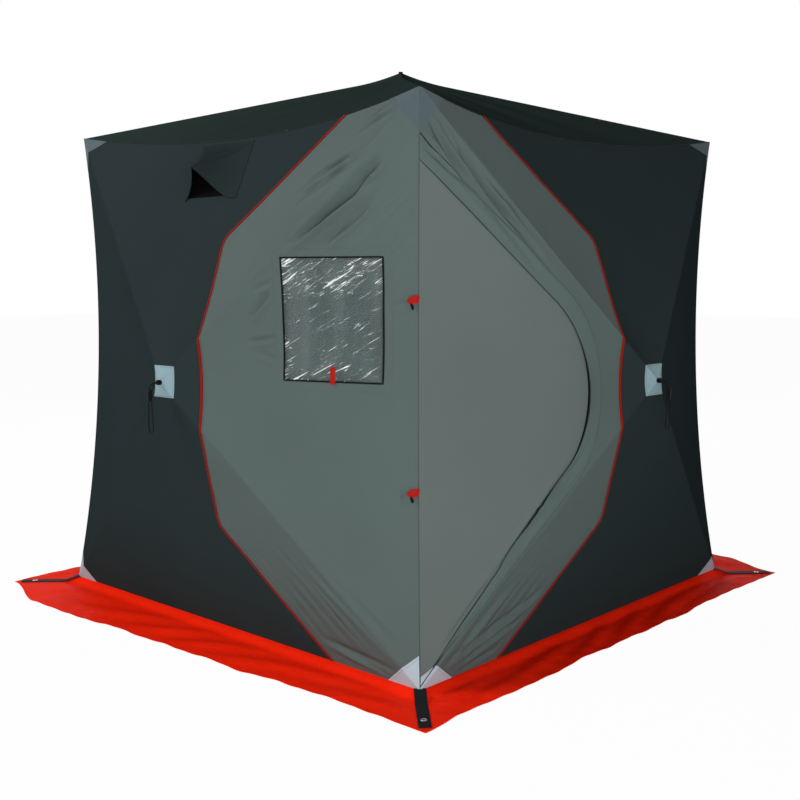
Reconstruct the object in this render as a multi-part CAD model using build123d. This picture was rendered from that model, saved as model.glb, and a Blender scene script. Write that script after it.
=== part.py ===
"""Pop-up ice fishing hut: fabric walls and a roof drawn tight over hubs and poles, with
a zipped corner door, clear windows, vent hoods and a wide ground skirt.

Millimetres, +Z up, origin on the ice below the middle of the hut. The front wall, with
the door, faces -Y and the left wall faces -X. Each wall is made facing -Y and turned
into place.
"""
from build123d import *
import math
import os

# Walls and roof
base_width = 1780.0
eave_width = 1680.0
corner_height = 1700.0
wall_foot = 22.0
hub_span = 2232.0
hub_height = 855.0
peak_height = 1951.0
crown_rise = 18.0
crown_share = 0.1
seam_sag = 65.0
eave_sag = 92.0
fabric = 2.5
seam_steps = 8

# Grey corner panels, measured from the wall's centre line and from the ice
panel_at_eave = 510.0
panel_upper = 1304.0
panel_upper_edge = 86.0
panel_hub_edge = 150.0
panel_lower = 402.0
panel_lower_edge = 124.0
panel_at_foot = 535.0
piping_width = 10.0
piping_height = 3.0

# Door, in the front wall's grey panel
door_hinge = 800.0
door_top = 1490.0
door_bottom = 120.0
door_tip = 103.0
door_tip_height = 867.0
door_tip_radius = 368.0
zip_gap = 6.0
hinge_gap = 0.5
flap_lap = 5.0
flap_cover = 44.0
flap_clearance = 5.0
flap_thickness = 2.0
flap_end = 40.0

# Windows, in the grey panels of the left and right walls
window_inner = 414.0
window_outer = 716.0
window_sill = 878.0
window_head = 1240.0
window_margin = 22.0
pane_thickness = 1.0
blind_thickness = 1.5
pull_tab_width = 12.0
pull_tab_height = 50.0

# Vent hoods, high on the left and right walls
vent_centre = -54.0
vent_width = 262.0
vent_foot = 1436.0
vent_head = 1625.0
vent_prop_height = 1552.0
vent_prop = 120.0
vent_thickness = 4.0
vent_hole_width = 130.0
vent_hole_height = 60.0

# Reinforcing patches
patch_thickness = 1.5
hub_patch_width = 102.0
top_patch_seam = 112.0
top_patch_ridge = 64.0
top_patch_eave = 135.0
foot_patch_seam = 92.0
foot_patch_edge = 122.0

# Hubs, poles and their ends
pole_radius = 5.5
pole_clearance = 0.2
hub_clearance = 3.0
hub_thickness = 40.0
hub_radius = 42.0
pole_start = 20.0
pole_stop = 12.0
socket_inset = 28.0
socket_radius = 22.0
foot_radius = 24.0
foot_height = 70.0
foot_pole_height = 45.0
bolt_radius = 8.0
bolt_out = 12.0
peak_bolt_out = 2.0
bolt_clearance = 0.3

# Ground skirt, measured from the wall's foot, and its anchor tabs
skirt_width = 177.0
skirt_fall = 46.0
skirt_thickness = 3.0
skirt_spread = 100.0
skirt_spread_share = 0.7
tab_width = 36.0
tab_inset = 20.0
tab_thickness = 2.0
grommet_inset = 44.0
grommet_hole = 5.0
grommet_radius = 9.0
grommet_lip = 0.5

# Door ties on the near corner seam
tie_heights = (1120.0, 573.0)
tie_width = 20.0
tie_length = 26.0
tie_thickness = 3.0
toggle_radius = 5.0
toggle_length = 30.0

# Pull cords at the hubs, as places sideways, outwards and upwards of the bolt's end
cord_diameter = 3.5
cord_bend_share = 0.45
cord_route = (
    (4.5, 0.0, 0.0), (4.5, 9.0, 0.0), (6.0, 18.0, -4.5), (8.0, 24.0, -13.0),
    (10.0, 27.0, -26.0), (12.0, 28.0, -50.0), (13.5, 27.5, -88.0), (13.8, 26.6, -126.0),
    (12.8, 26.3, -147.0), (5.5, 26.0, -155.0), (-5.0, 26.0, -155.5), (-12.8, 26.2, -148.0),
    (-14.2, 26.8, -127.0), (-13.6, 27.6, -89.0), (-12.0, 28.0, -51.0), (-9.8, 27.0, -27.0),
    (-7.6, 24.0, -14.0), (-5.8, 18.2, -5.0), (-4.5, 9.0, 0.0), (-4.5, 0.0, 0.0),
)

# Every cut runs this far past what it cuts
overrun = 60.0

# The walls in order about Z, a quarter turn apart
WALLS = ("front", "right", "back", "left")
QUARTER_TURN = 90


def turned(shape, wall_name):
    """A shape of the front wall turned to another wall of the hut."""
    return Rot(0, 0, QUARTER_TURN * WALLS.index(wall_name)) * shape


def all_round(shape):
    """Four copies of a shape, one for each wall."""
    return [turned(shape, name) for name in WALLS]


def grey_side(wall_name):
    """The end of a wall, left (-1) or right (1), that has the grey panel."""
    return -1 if wall_name in ("front", "back") else 1


def polygon(points):
    """A flat face through points in order."""
    return Face(Wire.make_polygon([Vector(*point) for point in points]))


def hung(start, end, sag):
    """Points from start to end along a seam that bows by the vector sag at its middle."""
    shares = [step / seam_steps for step in range(seam_steps + 1)]
    return [start + (end - start) * share + sag * (4 * share * (1 - share)) for share in shares]


def top_corner(side, inset):
    """The wall's upper corner on the left (-1) or right (1), moved in by inset."""
    half = eave_width / 2 - inset
    return Vector(side * half, -half, corner_height - inset)


def foot_corner(side, inset):
    """The wall's lower corner on the left (-1) or right (1), moved in by inset."""
    half = base_width / 2 - inset
    return Vector(side * half, -half, wall_foot)


def eave(inset):
    """The roof seam of the front wall, from left to right."""
    sag = Vector(0, 1, -1).normalized() * eave_sag
    return hung(top_corner(-1, inset), top_corner(1, inset), sag)


def corner_seam(side, inset):
    """The corner seam at one end of the front wall, from the top down."""
    sag = Vector(-side, 1, 0).normalized() * seam_sag
    return hung(top_corner(side, inset), foot_corner(side, inset), sag)


def seam_reach(height):
    """How far out along X and Y the corner seams are at a height."""
    share = (corner_height - height) / (corner_height - wall_foot)
    reach = eave_width / 2 + (base_width - eave_width) / 2 * share
    return reach - seam_sag * math.sqrt(0.5) * 4 * share * (1 - share)


def wall_rim(inset):
    """The whole edge of the front wall, clockwise from its upper left corner."""
    right = corner_seam(1, inset)
    left = corner_seam(-1, inset)
    return eave(inset)[:-1] + right + left[::-1][:-1]


def roof_rings(inset):
    """The four roof seams end to end, and the ring where the crown rises off the ridges."""
    turns = [QUARTER_TURN * index for index in range(len(WALLS))]
    rim = [point.rotate(Axis.Z, angle) for angle in turns for point in eave(inset)[:-1]]
    meet = Vector(0, 0, peak_height - crown_rise - inset)
    return [rim, [meet + (point - meet) * crown_share for point in rim]]


def fan_sheet(outer_rings, outer_tip, inner_rings, inner_tip):
    """A sheet from a closed rim over the rings inside it to a tip, between two skins."""
    outer_rim = outer_rings[0]
    inner_rim = inner_rings[0]
    faces = []
    for index, start in enumerate(outer_rim):
        after = (index + 1) % len(outer_rim)
        faces.append(polygon([start, outer_rim[after], inner_rim[after], inner_rim[index]]))
        for rings, tip in ((outer_rings, outer_tip), (inner_rings, inner_tip)):
            faces.append(polygon([tip, rings[-1][index], rings[-1][after]]))
            for ring, within in zip(rings, rings[1:]):
                faces.append(polygon([ring[index], ring[after], within[after], within[index]]))
    return Solid(Shell(faces))


def wall_sheet(outer, inner):
    """The front wall's sheet between two insets from its outside; below zero is proud."""
    tips = [Vector(0, inset - hub_span / 2, hub_height) for inset in (outer, inner)]
    return fan_sheet([wall_rim(outer)], tips[0], [wall_rim(inner)], tips[1])


def roof_sheet(outer, inner):
    """The roof's sheet between two insets from its outside."""
    tips = [Vector(0, 0, peak_height - inset) for inset in (outer, inner)]
    return fan_sheet(roof_rings(outer), tips[0], roof_rings(inner), tips[1])


def hub_seat(rings, tip, outwards):
    """The middle of a hub's outer end: clear of a sheet where it falls off most steeply."""
    falls = [tip - point for point in rings[-1]]
    slopes = [fall.dot(outwards) / fall.cross(outwards).length for fall in falls]
    return tip - outwards * (fabric + hub_radius * max(slopes) + hub_clearance)


def through_wall(face):
    """A cutter through the front wall with an outline drawn in the wall's elevation."""
    return extrude(Plane.XZ * face, amount=hub_span)


def outline(points, side=1):
    """An elevation outline from points across and up, mirrored to the left by side -1."""
    return make_face(Polyline(*[(side * across, up) for across, up in points], close=True))


def box_outline(left, right, low, high):
    """An upright rectangle in the wall's elevation."""
    return outline([(left, low), (right, low), (right, high), (left, high)])


def on_wall(wall, across, up):
    """The point of the front wall's outside at a place in its elevation."""
    hits = wall.find_intersection_points(Axis((across, 0, up), (0, -1, 0)))
    return min((hit[0] for hit in hits), key=lambda point: point.Y)


def panel_line(side):
    """The line of piping between the dark wall and its grey corner panel, from the top."""
    sag = eave_sag * math.sqrt(0.5) * (1 - (2 * panel_at_eave / eave_width) ** 2)
    above = Vector(panel_at_eave, corner_height - sag)
    upper = Vector(panel_upper_edge, panel_upper)
    middle = Vector(panel_hub_edge, hub_height)
    lower = Vector(panel_lower_edge, panel_lower)
    below = Vector(panel_at_foot, wall_foot)
    above += (above - upper).normalized() * overrun
    below += (below - lower).normalized() * overrun
    return [(side * point.X, point.Y) for point in (above, upper, middle, lower, below)]


def grey_outline(side):
    """The grey corner panel's side of the piping line."""
    line = panel_line(side)
    past = side * hub_span / 2
    corners = [(past, line[-1][1]), (past, corner_height + overrun)]
    return make_face(Polyline(*line, *corners, close=True))


def door_outline():
    """The door: straight at its hinge, and a point rounded off towards the hub."""
    points = [(-door_hinge, door_bottom), (-door_tip, door_tip_height), (-door_hinge, door_top)]
    face = outline(points)
    return fillet(face.vertices().sort_by(Axis.X)[-1], door_tip_radius)


def right_of(outline_face, across):
    """The part of an outline to the right of an upright line."""
    return outline_face & box_outline(across, hub_span / 2, -corner_height, 2 * corner_height)


def ridge_patch(side, wall_layer):
    """Half of an upper corner patch: from the seam over the pole's ridge to the eave."""
    half = eave_width / 2
    points = [
        (half + overrun, corner_height - top_patch_seam),
        (half - seam_sag, corner_height - top_patch_seam),
        (half - top_patch_ridge, corner_height - top_patch_ridge),
        (half - top_patch_eave, corner_height - top_patch_ridge / 2),
        (half - top_patch_eave, corner_height + overrun),
        (half + overrun, corner_height + overrun),
    ]
    return wall_layer & through_wall(outline(points, side))


def foot_patch(side, wall_layer):
    """Half of a lower corner patch: a triangle from the seam to the wall's foot."""
    half = base_width / 2
    points = [
        (half + overrun, wall_foot + foot_patch_seam),
        (half - seam_sag / 4, wall_foot + foot_patch_seam),
        (half - foot_patch_edge, wall_foot),
        (half - foot_patch_edge, wall_foot - overrun),
        (half + overrun, wall_foot - overrun),
    ]
    return wall_layer & through_wall(outline(points, side))


def at_corners(half_shape):
    """One solid a corner, from the halves on the two walls that meet there."""
    rights = half_shape(1)
    lefts = half_shape(-1)
    corner = lefts + Rot(0, 0, -QUARTER_TURN) * rights
    return Compound([solid for copy in all_round(corner) for solid in copy.solids()])


def cylinder_along(start, end, radius):
    """A rod between two points."""
    return Solid.make_cylinder(radius, (end - start).length, Plane(start, z_dir=end - start))


def pole(hub, corner, radius):
    """A pole from inside a hub to inside a corner's socket or foot."""
    along = (corner - hub).normalized()
    return cylinder_along(hub + along * pole_start, corner - along * pole_stop, radius)


def vent_tent(wall, inset):
    """A tent of cloth on the wall: shut at its top and sides, its foot propped out and up.

    An inset one is the space inside it, which runs on out of its mouth.
    """
    half = vent_width / 2 - inset
    mouth_way = Vector(0, 0, -overrun if inset else 0)
    corners = [
        (vent_centre - half, vent_foot),
        (vent_centre + half, vent_foot),
        (vent_centre + half, vent_head - inset),
        (vent_centre - half, vent_head - inset),
    ]
    base = [on_wall(wall, across, up) + Vector(0, fabric, 0) for across, up in corners]
    prop = on_wall(wall, vent_centre, vent_prop_height) - Vector(0, vent_prop - inset, 0)
    mouth = [point + mouth_way for point in (base[0], base[1], prop)]
    return ConvexPolyhedron(base + [prop] + (mouth if inset else []))


def skirt_side(levels):
    """A side of the skirt, mitred at both ends, from its section as reaches and heights."""
    faces = []
    for index, (reach, height) in enumerate(levels):
        far, high = levels[(index + 1) % len(levels)]
        corners = [(-reach, height), (reach, height), (far, high), (-far, high)]
        faces.append(polygon([(x, -abs(x), z) for x, z in corners]))
    for side in (-1, 1):
        faces.append(polygon([(side * reach, -reach, height) for reach, height in levels]))
    return Solid(Shell(faces))


def skirt_levels(lower, upper):
    """The skirt's section between two heights above its underside."""
    top = base_width / 2
    flat = top + skirt_fall
    edge = top + skirt_width
    slope = wall_foot - skirt_thickness
    over = [(top, slope + upper), (flat, upper), (edge, upper)]
    under = [(edge, lower), (flat, lower), (top, slope + lower)]
    return over + under


def spread_edge():
    """The strip that lies beyond a skirt's straight edge where the cloth is pulled out flat."""
    edge = base_width / 2 + skirt_width
    corners = [(-edge, -edge), (edge, -edge)]
    corners += [(side * edge * skirt_spread_share, -edge - skirt_spread) for side in (1, -1)]
    return extrude(make_face(Polyline(*corners, close=True)), amount=skirt_thickness, dir=(0, 0, 1))


def cord_tube(origin):
    """A pull loop of cord from the bolt's end: straight runs joined by large arcs."""
    points = [origin + Vector(across, -out, up) for across, out, up in cord_route]
    radii = []
    for before, here, after in zip(points, points[1:], points[2:]):
        turn = math.radians((here - before).get_angle(after - here))
        shorter = min((here - before).length, (after - here).length)
        radii.append(cord_bend_share * shorter / math.tan(turn / 2))
    path = FilletPolyline(*points, radius=radii)
    section = Plane(points[0], z_dir=points[1] - points[0]) * Circle(cord_diameter / 2)
    tube = sweep(section, path=path)
    expected = math.pi * cord_diameter ** 2 / 4 * path.length
    print("cord radii", [round(radius, 1) for radius in radii])
    print("cord length", round(path.length, 1), "volume share", round(tube.volume / expected, 4))
    return tube


nodes = {}
wall = wall_sheet(0, fabric)
patch_layer = wall_sheet(-patch_thickness, 0)
hub_tip = Vector(0, -hub_span / 2, hub_height)
bolt_end = hub_tip - Vector(0, bolt_out, 0)

# Frame: hubs, poles, corner sockets and feet
hub_outer = hub_seat([wall_rim(fabric)], hub_tip, Vector(0, -1, 0))
hub_inner = hub_outer + Vector(0, hub_thickness, 0)
hub_middle = (hub_outer + hub_inner) * (1 / 2)
peak_tip = Vector(0, 0, peak_height)
peak_outer = hub_seat(roof_rings(fabric), peak_tip, Vector(0, 0, 1))
peak_inner = peak_outer - Vector(0, 0, hub_thickness)
peak_middle = (peak_outer + peak_inner) * (1 / 2)
foot_half = min(base_width / 2, seam_reach(foot_height)) - fabric - foot_radius
top_ends = [top_corner(side, socket_inset) for side in (-1, 1)]
foot_ends = [Vector(side * foot_half, -foot_half, foot_pole_height) for side in (-1, 1)]
roof_ends = [top_ends[0].rotate(Axis.Z, QUARTER_TURN * index) for index in range(len(WALLS))]


def poles_of(middle, ends, radius):
    """The poles from one hub to the places where they end."""
    return [pole(middle, end, radius) for end in ends]


def hub_block(outer, inner, middle, ends):
    """A hub with a socket for each of its poles."""
    block = cylinder_along(outer, inner, hub_radius)
    for socket in poles_of(middle, ends, pole_radius + pole_clearance):
        block -= socket
    return block


wall_poles = poles_of(hub_middle, top_ends + foot_ends, pole_radius)
wall_hub = hub_block(hub_outer, hub_inner, hub_middle, top_ends + foot_ends)
nodes["roof_poles"] = Compound(poles_of(peak_middle, roof_ends, pole_radius))
nodes["roof_hub"] = hub_block(peak_outer, peak_inner, peak_middle, roof_ends)

wide_wall_poles = poles_of(hub_middle, top_ends + foot_ends, pole_radius + pole_clearance)
wide_poles = [copy for rod in wide_wall_poles for copy in all_round(rod)]
wide_poles += poles_of(peak_middle, roof_ends, pole_radius + pole_clearance)
socket = Pos(*top_ends[0]) * Sphere(socket_radius)
foot_cap = Pos(-foot_half, -foot_half, foot_height / 2) * Cylinder(foot_radius, foot_height)
for rod in wide_poles:
    socket -= rod
    foot_cap -= rod
nodes["corner_sockets"] = Compound(all_round(socket))
nodes["pole_feet"] = Compound(all_round(foot_cap))

# Bolts that clamp the fabric to the hubs
wall_bolt = cylinder_along(hub_outer, bolt_end, bolt_radius)
bolt_bore = cylinder_along(hub_outer, bolt_end, bolt_radius + bolt_clearance)
peak_end = peak_tip + Vector(0, 0, peak_bolt_out)
peak_bolt = cylinder_along(peak_outer, peak_end, bolt_radius)
peak_bore = cylinder_along(peak_outer, peak_end, bolt_radius + bolt_clearance)
nodes["hub_bolts"] = Compound(all_round(wall_bolt) + [peak_bolt])

# Door and the openings in the front wall
door_face = door_outline()
doorway = right_of(offset(door_face, zip_gap, kind=Kind.INTERSECTION), -door_hinge - hinge_gap)
nodes["door_panel"] = wall & through_wall(door_face)
flap_band = offset(door_face, flap_cover, kind=Kind.INTERSECTION)
flap_band -= offset(door_face, -flap_lap, kind=Kind.INTERSECTION)
flap_band = right_of(flap_band, flap_end - door_hinge)
flap = wall_sheet(-flap_clearance - flap_thickness, 0) & through_wall(flap_band)
flap -= wall_sheet(-flap_clearance, 0) & through_wall(flap_band - door_face)
nodes["door_storm_flap"] = flap

# Windows and vents in the left and right walls
window = box_outline(window_inner, window_outer, window_sill, window_head)
window_cloth = through_wall(offset(window, window_margin, kind=Kind.INTERSECTION))
pane_back = fabric + pane_thickness
pane = wall_sheet(fabric, pane_back) & window_cloth
blind = wall_sheet(pane_back, pane_back + blind_thickness) & window_cloth
tab_middle = (window_inner + window_outer) / 2
tab_sides = [tab_middle + side * pull_tab_width / 2 for side in (-1, 1)]
pull_tab = wall & through_wall(box_outline(*tab_sides, window_sill, window_sill + pull_tab_height))
hood = vent_tent(wall, 0) - vent_tent(wall, vent_thickness) - wall_sheet(0, vent_prop)
hole_sides = [vent_centre + side * vent_hole_width / 2 for side in (-1, 1)]
hole_low = (vent_foot + vent_head - vent_hole_height) / 2
vent_hole = box_outline(*hole_sides, hole_low, hole_low + vent_hole_height)
window_walls = ("left", "right")
for name, shape in (
    ("window_panes", pane),
    ("window_blinds", blind),
    ("window_pull_tabs", pull_tab),
    ("vent_hoods", hood),
):
    nodes[name] = Compound([turned(shape, wall_name) for wall_name in window_walls])

# Wall panels, piping, frames and cords of each wall
piping_layer = wall_sheet(-piping_height, 0)
pull_cord = cord_tube(bolt_end)
pipings = []
for name in WALLS:
    side = grey_side(name)
    corner_panel = through_wall(grey_outline(side))
    dark = wall - corner_panel - bolt_bore
    grey = wall & corner_panel
    if name == "front":
        grey -= through_wall(doorway)
    if name in window_walls:
        grey -= through_wall(window)
        dark -= through_wall(vent_hole)
    piping = piping_layer & through_wall(trace(Polyline(*panel_line(side)), piping_width))
    pipings.append(turned(piping, name))
    nodes[f"{name}_wall_dark_panel"] = turned(dark, name)
    nodes[f"{name}_wall_grey_panel"] = turned(grey, name)
    nodes[f"{name}_wall_poles"] = turned(Compound(wall_poles), name)
    nodes[f"{name}_wall_hub"] = turned(wall_hub, name)
    nodes[f"{name}_pull_cord"] = turned(pull_cord, name)
nodes["panel_piping"] = Compound(pipings)
nodes["roof_panel"] = roof_sheet(0, fabric) - peak_bore

# Patches
patch_half = hub_patch_width / 2
patch_square = box_outline(-patch_half, patch_half, hub_height - patch_half, hub_height + patch_half)
hub_patch = (patch_layer & through_wall(patch_square)) - bolt_bore
nodes["hub_patches"] = Compound(all_round(hub_patch))
nodes["top_corner_patches"] = at_corners(lambda side: ridge_patch(side, patch_layer))
nodes["foot_corner_patches"] = at_corners(lambda side: foot_patch(side, patch_layer))

# Ground skirt, with an anchor tab and a grommet at each corner
tab_reach = base_width / 2 + skirt_width - tab_inset
grommet_reach = tab_reach - grommet_inset
grommet_at = Pos(-grommet_reach, -grommet_reach, 0)
grommet_top = skirt_thickness + tab_thickness + grommet_lip
flat_down = (Align.CENTER, Align.CENTER, Align.MIN)
grommet_plug = grommet_at * Cylinder(grommet_radius, grommet_top, align=flat_down)
grommet = grommet_plug - grommet_at * Cylinder(grommet_hole, grommet_top, align=flat_down)
skirt = skirt_side(skirt_levels(0, skirt_thickness))
skirt -= grommet_plug + turned(grommet_plug, "right")
for name in WALLS:
    cloth = skirt + spread_edge() if name in window_walls else skirt
    nodes[f"{name}_skirt"] = turned(cloth, name)
tab_side = skirt_side(skirt_levels(skirt_thickness, skirt_thickness + tab_thickness))
tab_root = base_width / 2 + patch_thickness + tab_thickness
tab_length = Vector(tab_reach - tab_root, tab_reach - tab_root).length
tab_centre = -(tab_reach + tab_root) / 2
tab_strip = Pos(tab_centre, tab_centre, 0) * Rot(0, 0, QUARTER_TURN / 2)
tab_strip *= Box(tab_length, tab_width, corner_height)
tab = (tab_side + turned(tab_side, "left")) & tab_strip
tab -= grommet_plug
nodes["anchor_tabs"] = Compound(all_round(tab))
nodes["anchor_grommets"] = Compound(all_round(grommet))

# Door ties on the corner seam between the front and left walls
tie_root = fabric / 2
tie_tabs = []
tie_toggles = []
for height in tie_heights:
    seam = Vector(-seam_reach(height), -seam_reach(height), height)
    outwards = Vector(-1, -1, 0).normalized()
    tie_frame = Plane(seam, x_dir=outwards, z_dir=(0, 0, 1))
    strip = Pos((tie_length - tie_root) / 2, 0, 0)
    strip *= Box(tie_length + tie_root, tie_thickness, tie_width)
    strip = (tie_frame * strip) - wall - turned(wall, "left")
    barrel = Pos(tie_length + toggle_radius, 0, 0) * Cylinder(toggle_radius, toggle_length)
    tie_tabs.append(strip)
    tie_toggles.append(tie_frame * barrel)
nodes["door_tie_tabs"] = Compound(tie_tabs)
nodes["door_tie_toggles"] = Compound(tie_toggles)

os.makedirs("parts", exist_ok=True)
for name, shape in nodes.items():
    export_step(shape, f"parts/{name}.step")
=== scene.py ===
"""Looks of a pop-up ice fishing hut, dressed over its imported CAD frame.

Everything is in metres in the CAD frame: +Z up, the origin on the ice below the middle of
the hut, the front wall with the door facing -Y and the left wall facing -X. A place on a
wall is a pair (u, z): across from the wall's centre line, and up from the ice.
"""
import logging
import math
from dataclasses import dataclass
from enum import Enum
from typing import Optional, Sequence, Union

import bpy
import numpy as np
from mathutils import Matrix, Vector


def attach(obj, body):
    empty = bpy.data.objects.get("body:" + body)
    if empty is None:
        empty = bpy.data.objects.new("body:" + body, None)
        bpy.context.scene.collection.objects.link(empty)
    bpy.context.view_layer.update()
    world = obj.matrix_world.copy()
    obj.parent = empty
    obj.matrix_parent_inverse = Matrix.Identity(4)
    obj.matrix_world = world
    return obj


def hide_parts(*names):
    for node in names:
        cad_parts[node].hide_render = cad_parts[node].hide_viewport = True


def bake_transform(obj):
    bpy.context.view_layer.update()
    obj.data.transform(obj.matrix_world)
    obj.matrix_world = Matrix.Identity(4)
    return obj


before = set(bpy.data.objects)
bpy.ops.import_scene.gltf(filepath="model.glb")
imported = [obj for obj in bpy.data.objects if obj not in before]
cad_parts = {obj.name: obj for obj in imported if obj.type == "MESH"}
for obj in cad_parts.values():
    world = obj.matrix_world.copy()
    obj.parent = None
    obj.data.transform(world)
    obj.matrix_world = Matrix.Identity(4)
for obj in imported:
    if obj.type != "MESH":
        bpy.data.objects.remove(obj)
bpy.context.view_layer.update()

LOG = logging.getLogger("ice_hut")
Array = np.ndarray
Number = Union[float, np.ndarray]
Place = tuple[float, float]
Point = tuple[float, float, float]
Colour = tuple[float, float, float]

CLOTH_MAP = "cloth"
MERGE = 1e-5
CREASE_ANGLE = math.radians(50)
UP = np.array([0.0, 0.0, 1.0])
WALL_CLOTH = 0.0022
THREAD = 0.0007
STITCH_SHARE = 0.36
ON_CLOTH = 0.0002


class Body(str, Enum):
    """The two bodies that pieces move with."""

    SHELTER = "shelter"
    DOOR = "door"


class Slot(str, Enum):
    """Material slots of the record."""

    DARK = "dark_fabric"
    ROOF = "roof_fabric"
    GREY = "grey_fabric"
    RED = "red_fabric"
    TAPE = "red_webbing"
    SILVER = "silver_fabric"
    VINYL = "clear_vinyl"
    PLASTIC = "black_plastic"
    CORD = "black_cord"
    WEBBING = "black_webbing"
    GROMMET = "grommet_metal"


# ---- Points, grids and meshes


def line(start: Sequence[float], end: Sequence[float], cells: int) -> Array:
    """Evenly spaced points from start to end, both included."""
    share = np.linspace(0.0, 1.0, cells + 1)[:, None]
    return np.asarray(start, float) * (1 - share) + np.asarray(end, float) * share


def chain(*runs: Array) -> Array:
    """Runs of points end to end, with each joint kept once."""
    return np.concatenate([run[:-1] for run in runs[:-1]] + [runs[-1]])


def through(stops: Sequence[Sequence[float]], cells: Union[int, Sequence[int]]) -> Array:
    """Straight runs from stop to stop, with one number of cells for all or one for each."""
    counts = [cells] * (len(stops) - 1) if isinstance(cells, int) else cells
    return chain(*[line(a, b, n) for a, b, n in zip(stops, stops[1:], counts)])


def lengths(path: Array) -> Array:
    """How far along a path each of its points lies."""
    return np.concatenate([[0], np.cumsum(np.linalg.norm(np.diff(path, axis=0), axis=1))])


def places_at(path: Array, distance: Array) -> Array:
    """Places (u, z) at distances along a path."""
    run = lengths(path)
    return np.stack([np.interp(distance, run, path[:, axis]) for axis in (0, 1)], axis=1)


def stacked(*parts: Array) -> Array:
    """Points from their coordinates, which are spread out to one shape first."""
    return np.stack(np.broadcast_arrays(*parts), axis=-1)


def crossed(first: Array, second: Array) -> Array:
    """A grid of places from two rows of coordinates."""
    return np.stack(np.meshgrid(first, second, indexing="ij"), axis=-1)


def ruled(first: Array, second: Array, cells: Union[int, Array]) -> Array:
    """A grid of straight rows between two runs of as many points.

    Args:
        first: points where the rows start.
        second: points where the rows end.
        cells: cells in a row, or the rows' shares from 0 to 1.

    Returns:
        Points of shape (run, row, dimension).
    """
    share = np.linspace(0, 1, cells + 1) if isinstance(cells, int) else cells
    share = share[None, :, None]
    return first[:, None] * (1 - share) + second[:, None] * share


def fan(point: Sequence[float], rim: Array, cells: Union[int, Array]) -> Array:
    """A grid of straight rows from one point to a rim."""
    return ruled(np.broadcast_to(np.array(point, float), rim.shape), rim, cells)


def smooth(low: float, high: float, value: Number) -> Number:
    """0 up to low, 1 from high on, and a smooth step between them."""
    share = np.clip((value - low) / (high - low), 0.0, 1.0)
    return share * share * (3 - 2 * share)


def unit(vectors: Array) -> Array:
    """Vectors of length 1."""
    return vectors / np.maximum(np.linalg.norm(vectors, axis=-1, keepdims=True), 1e-12)


def placed(name: str, data: bpy.types.ID) -> bpy.types.Object:
    """A new object in the scene."""
    piece = bpy.data.objects.new(name, data)
    bpy.context.scene.collection.objects.link(piece)
    return piece


def aimed(name: str, data: bpy.types.ID, at: Point, way: Vector) -> bpy.types.Object:
    """A new camera or lamp at a point, turned to look along a direction."""
    piece = placed(name, data)
    piece.location, piece.rotation_mode = at, "QUATERNION"
    piece.rotation_quaternion = way.to_track_quat("-Z", "Y")
    return piece


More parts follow.
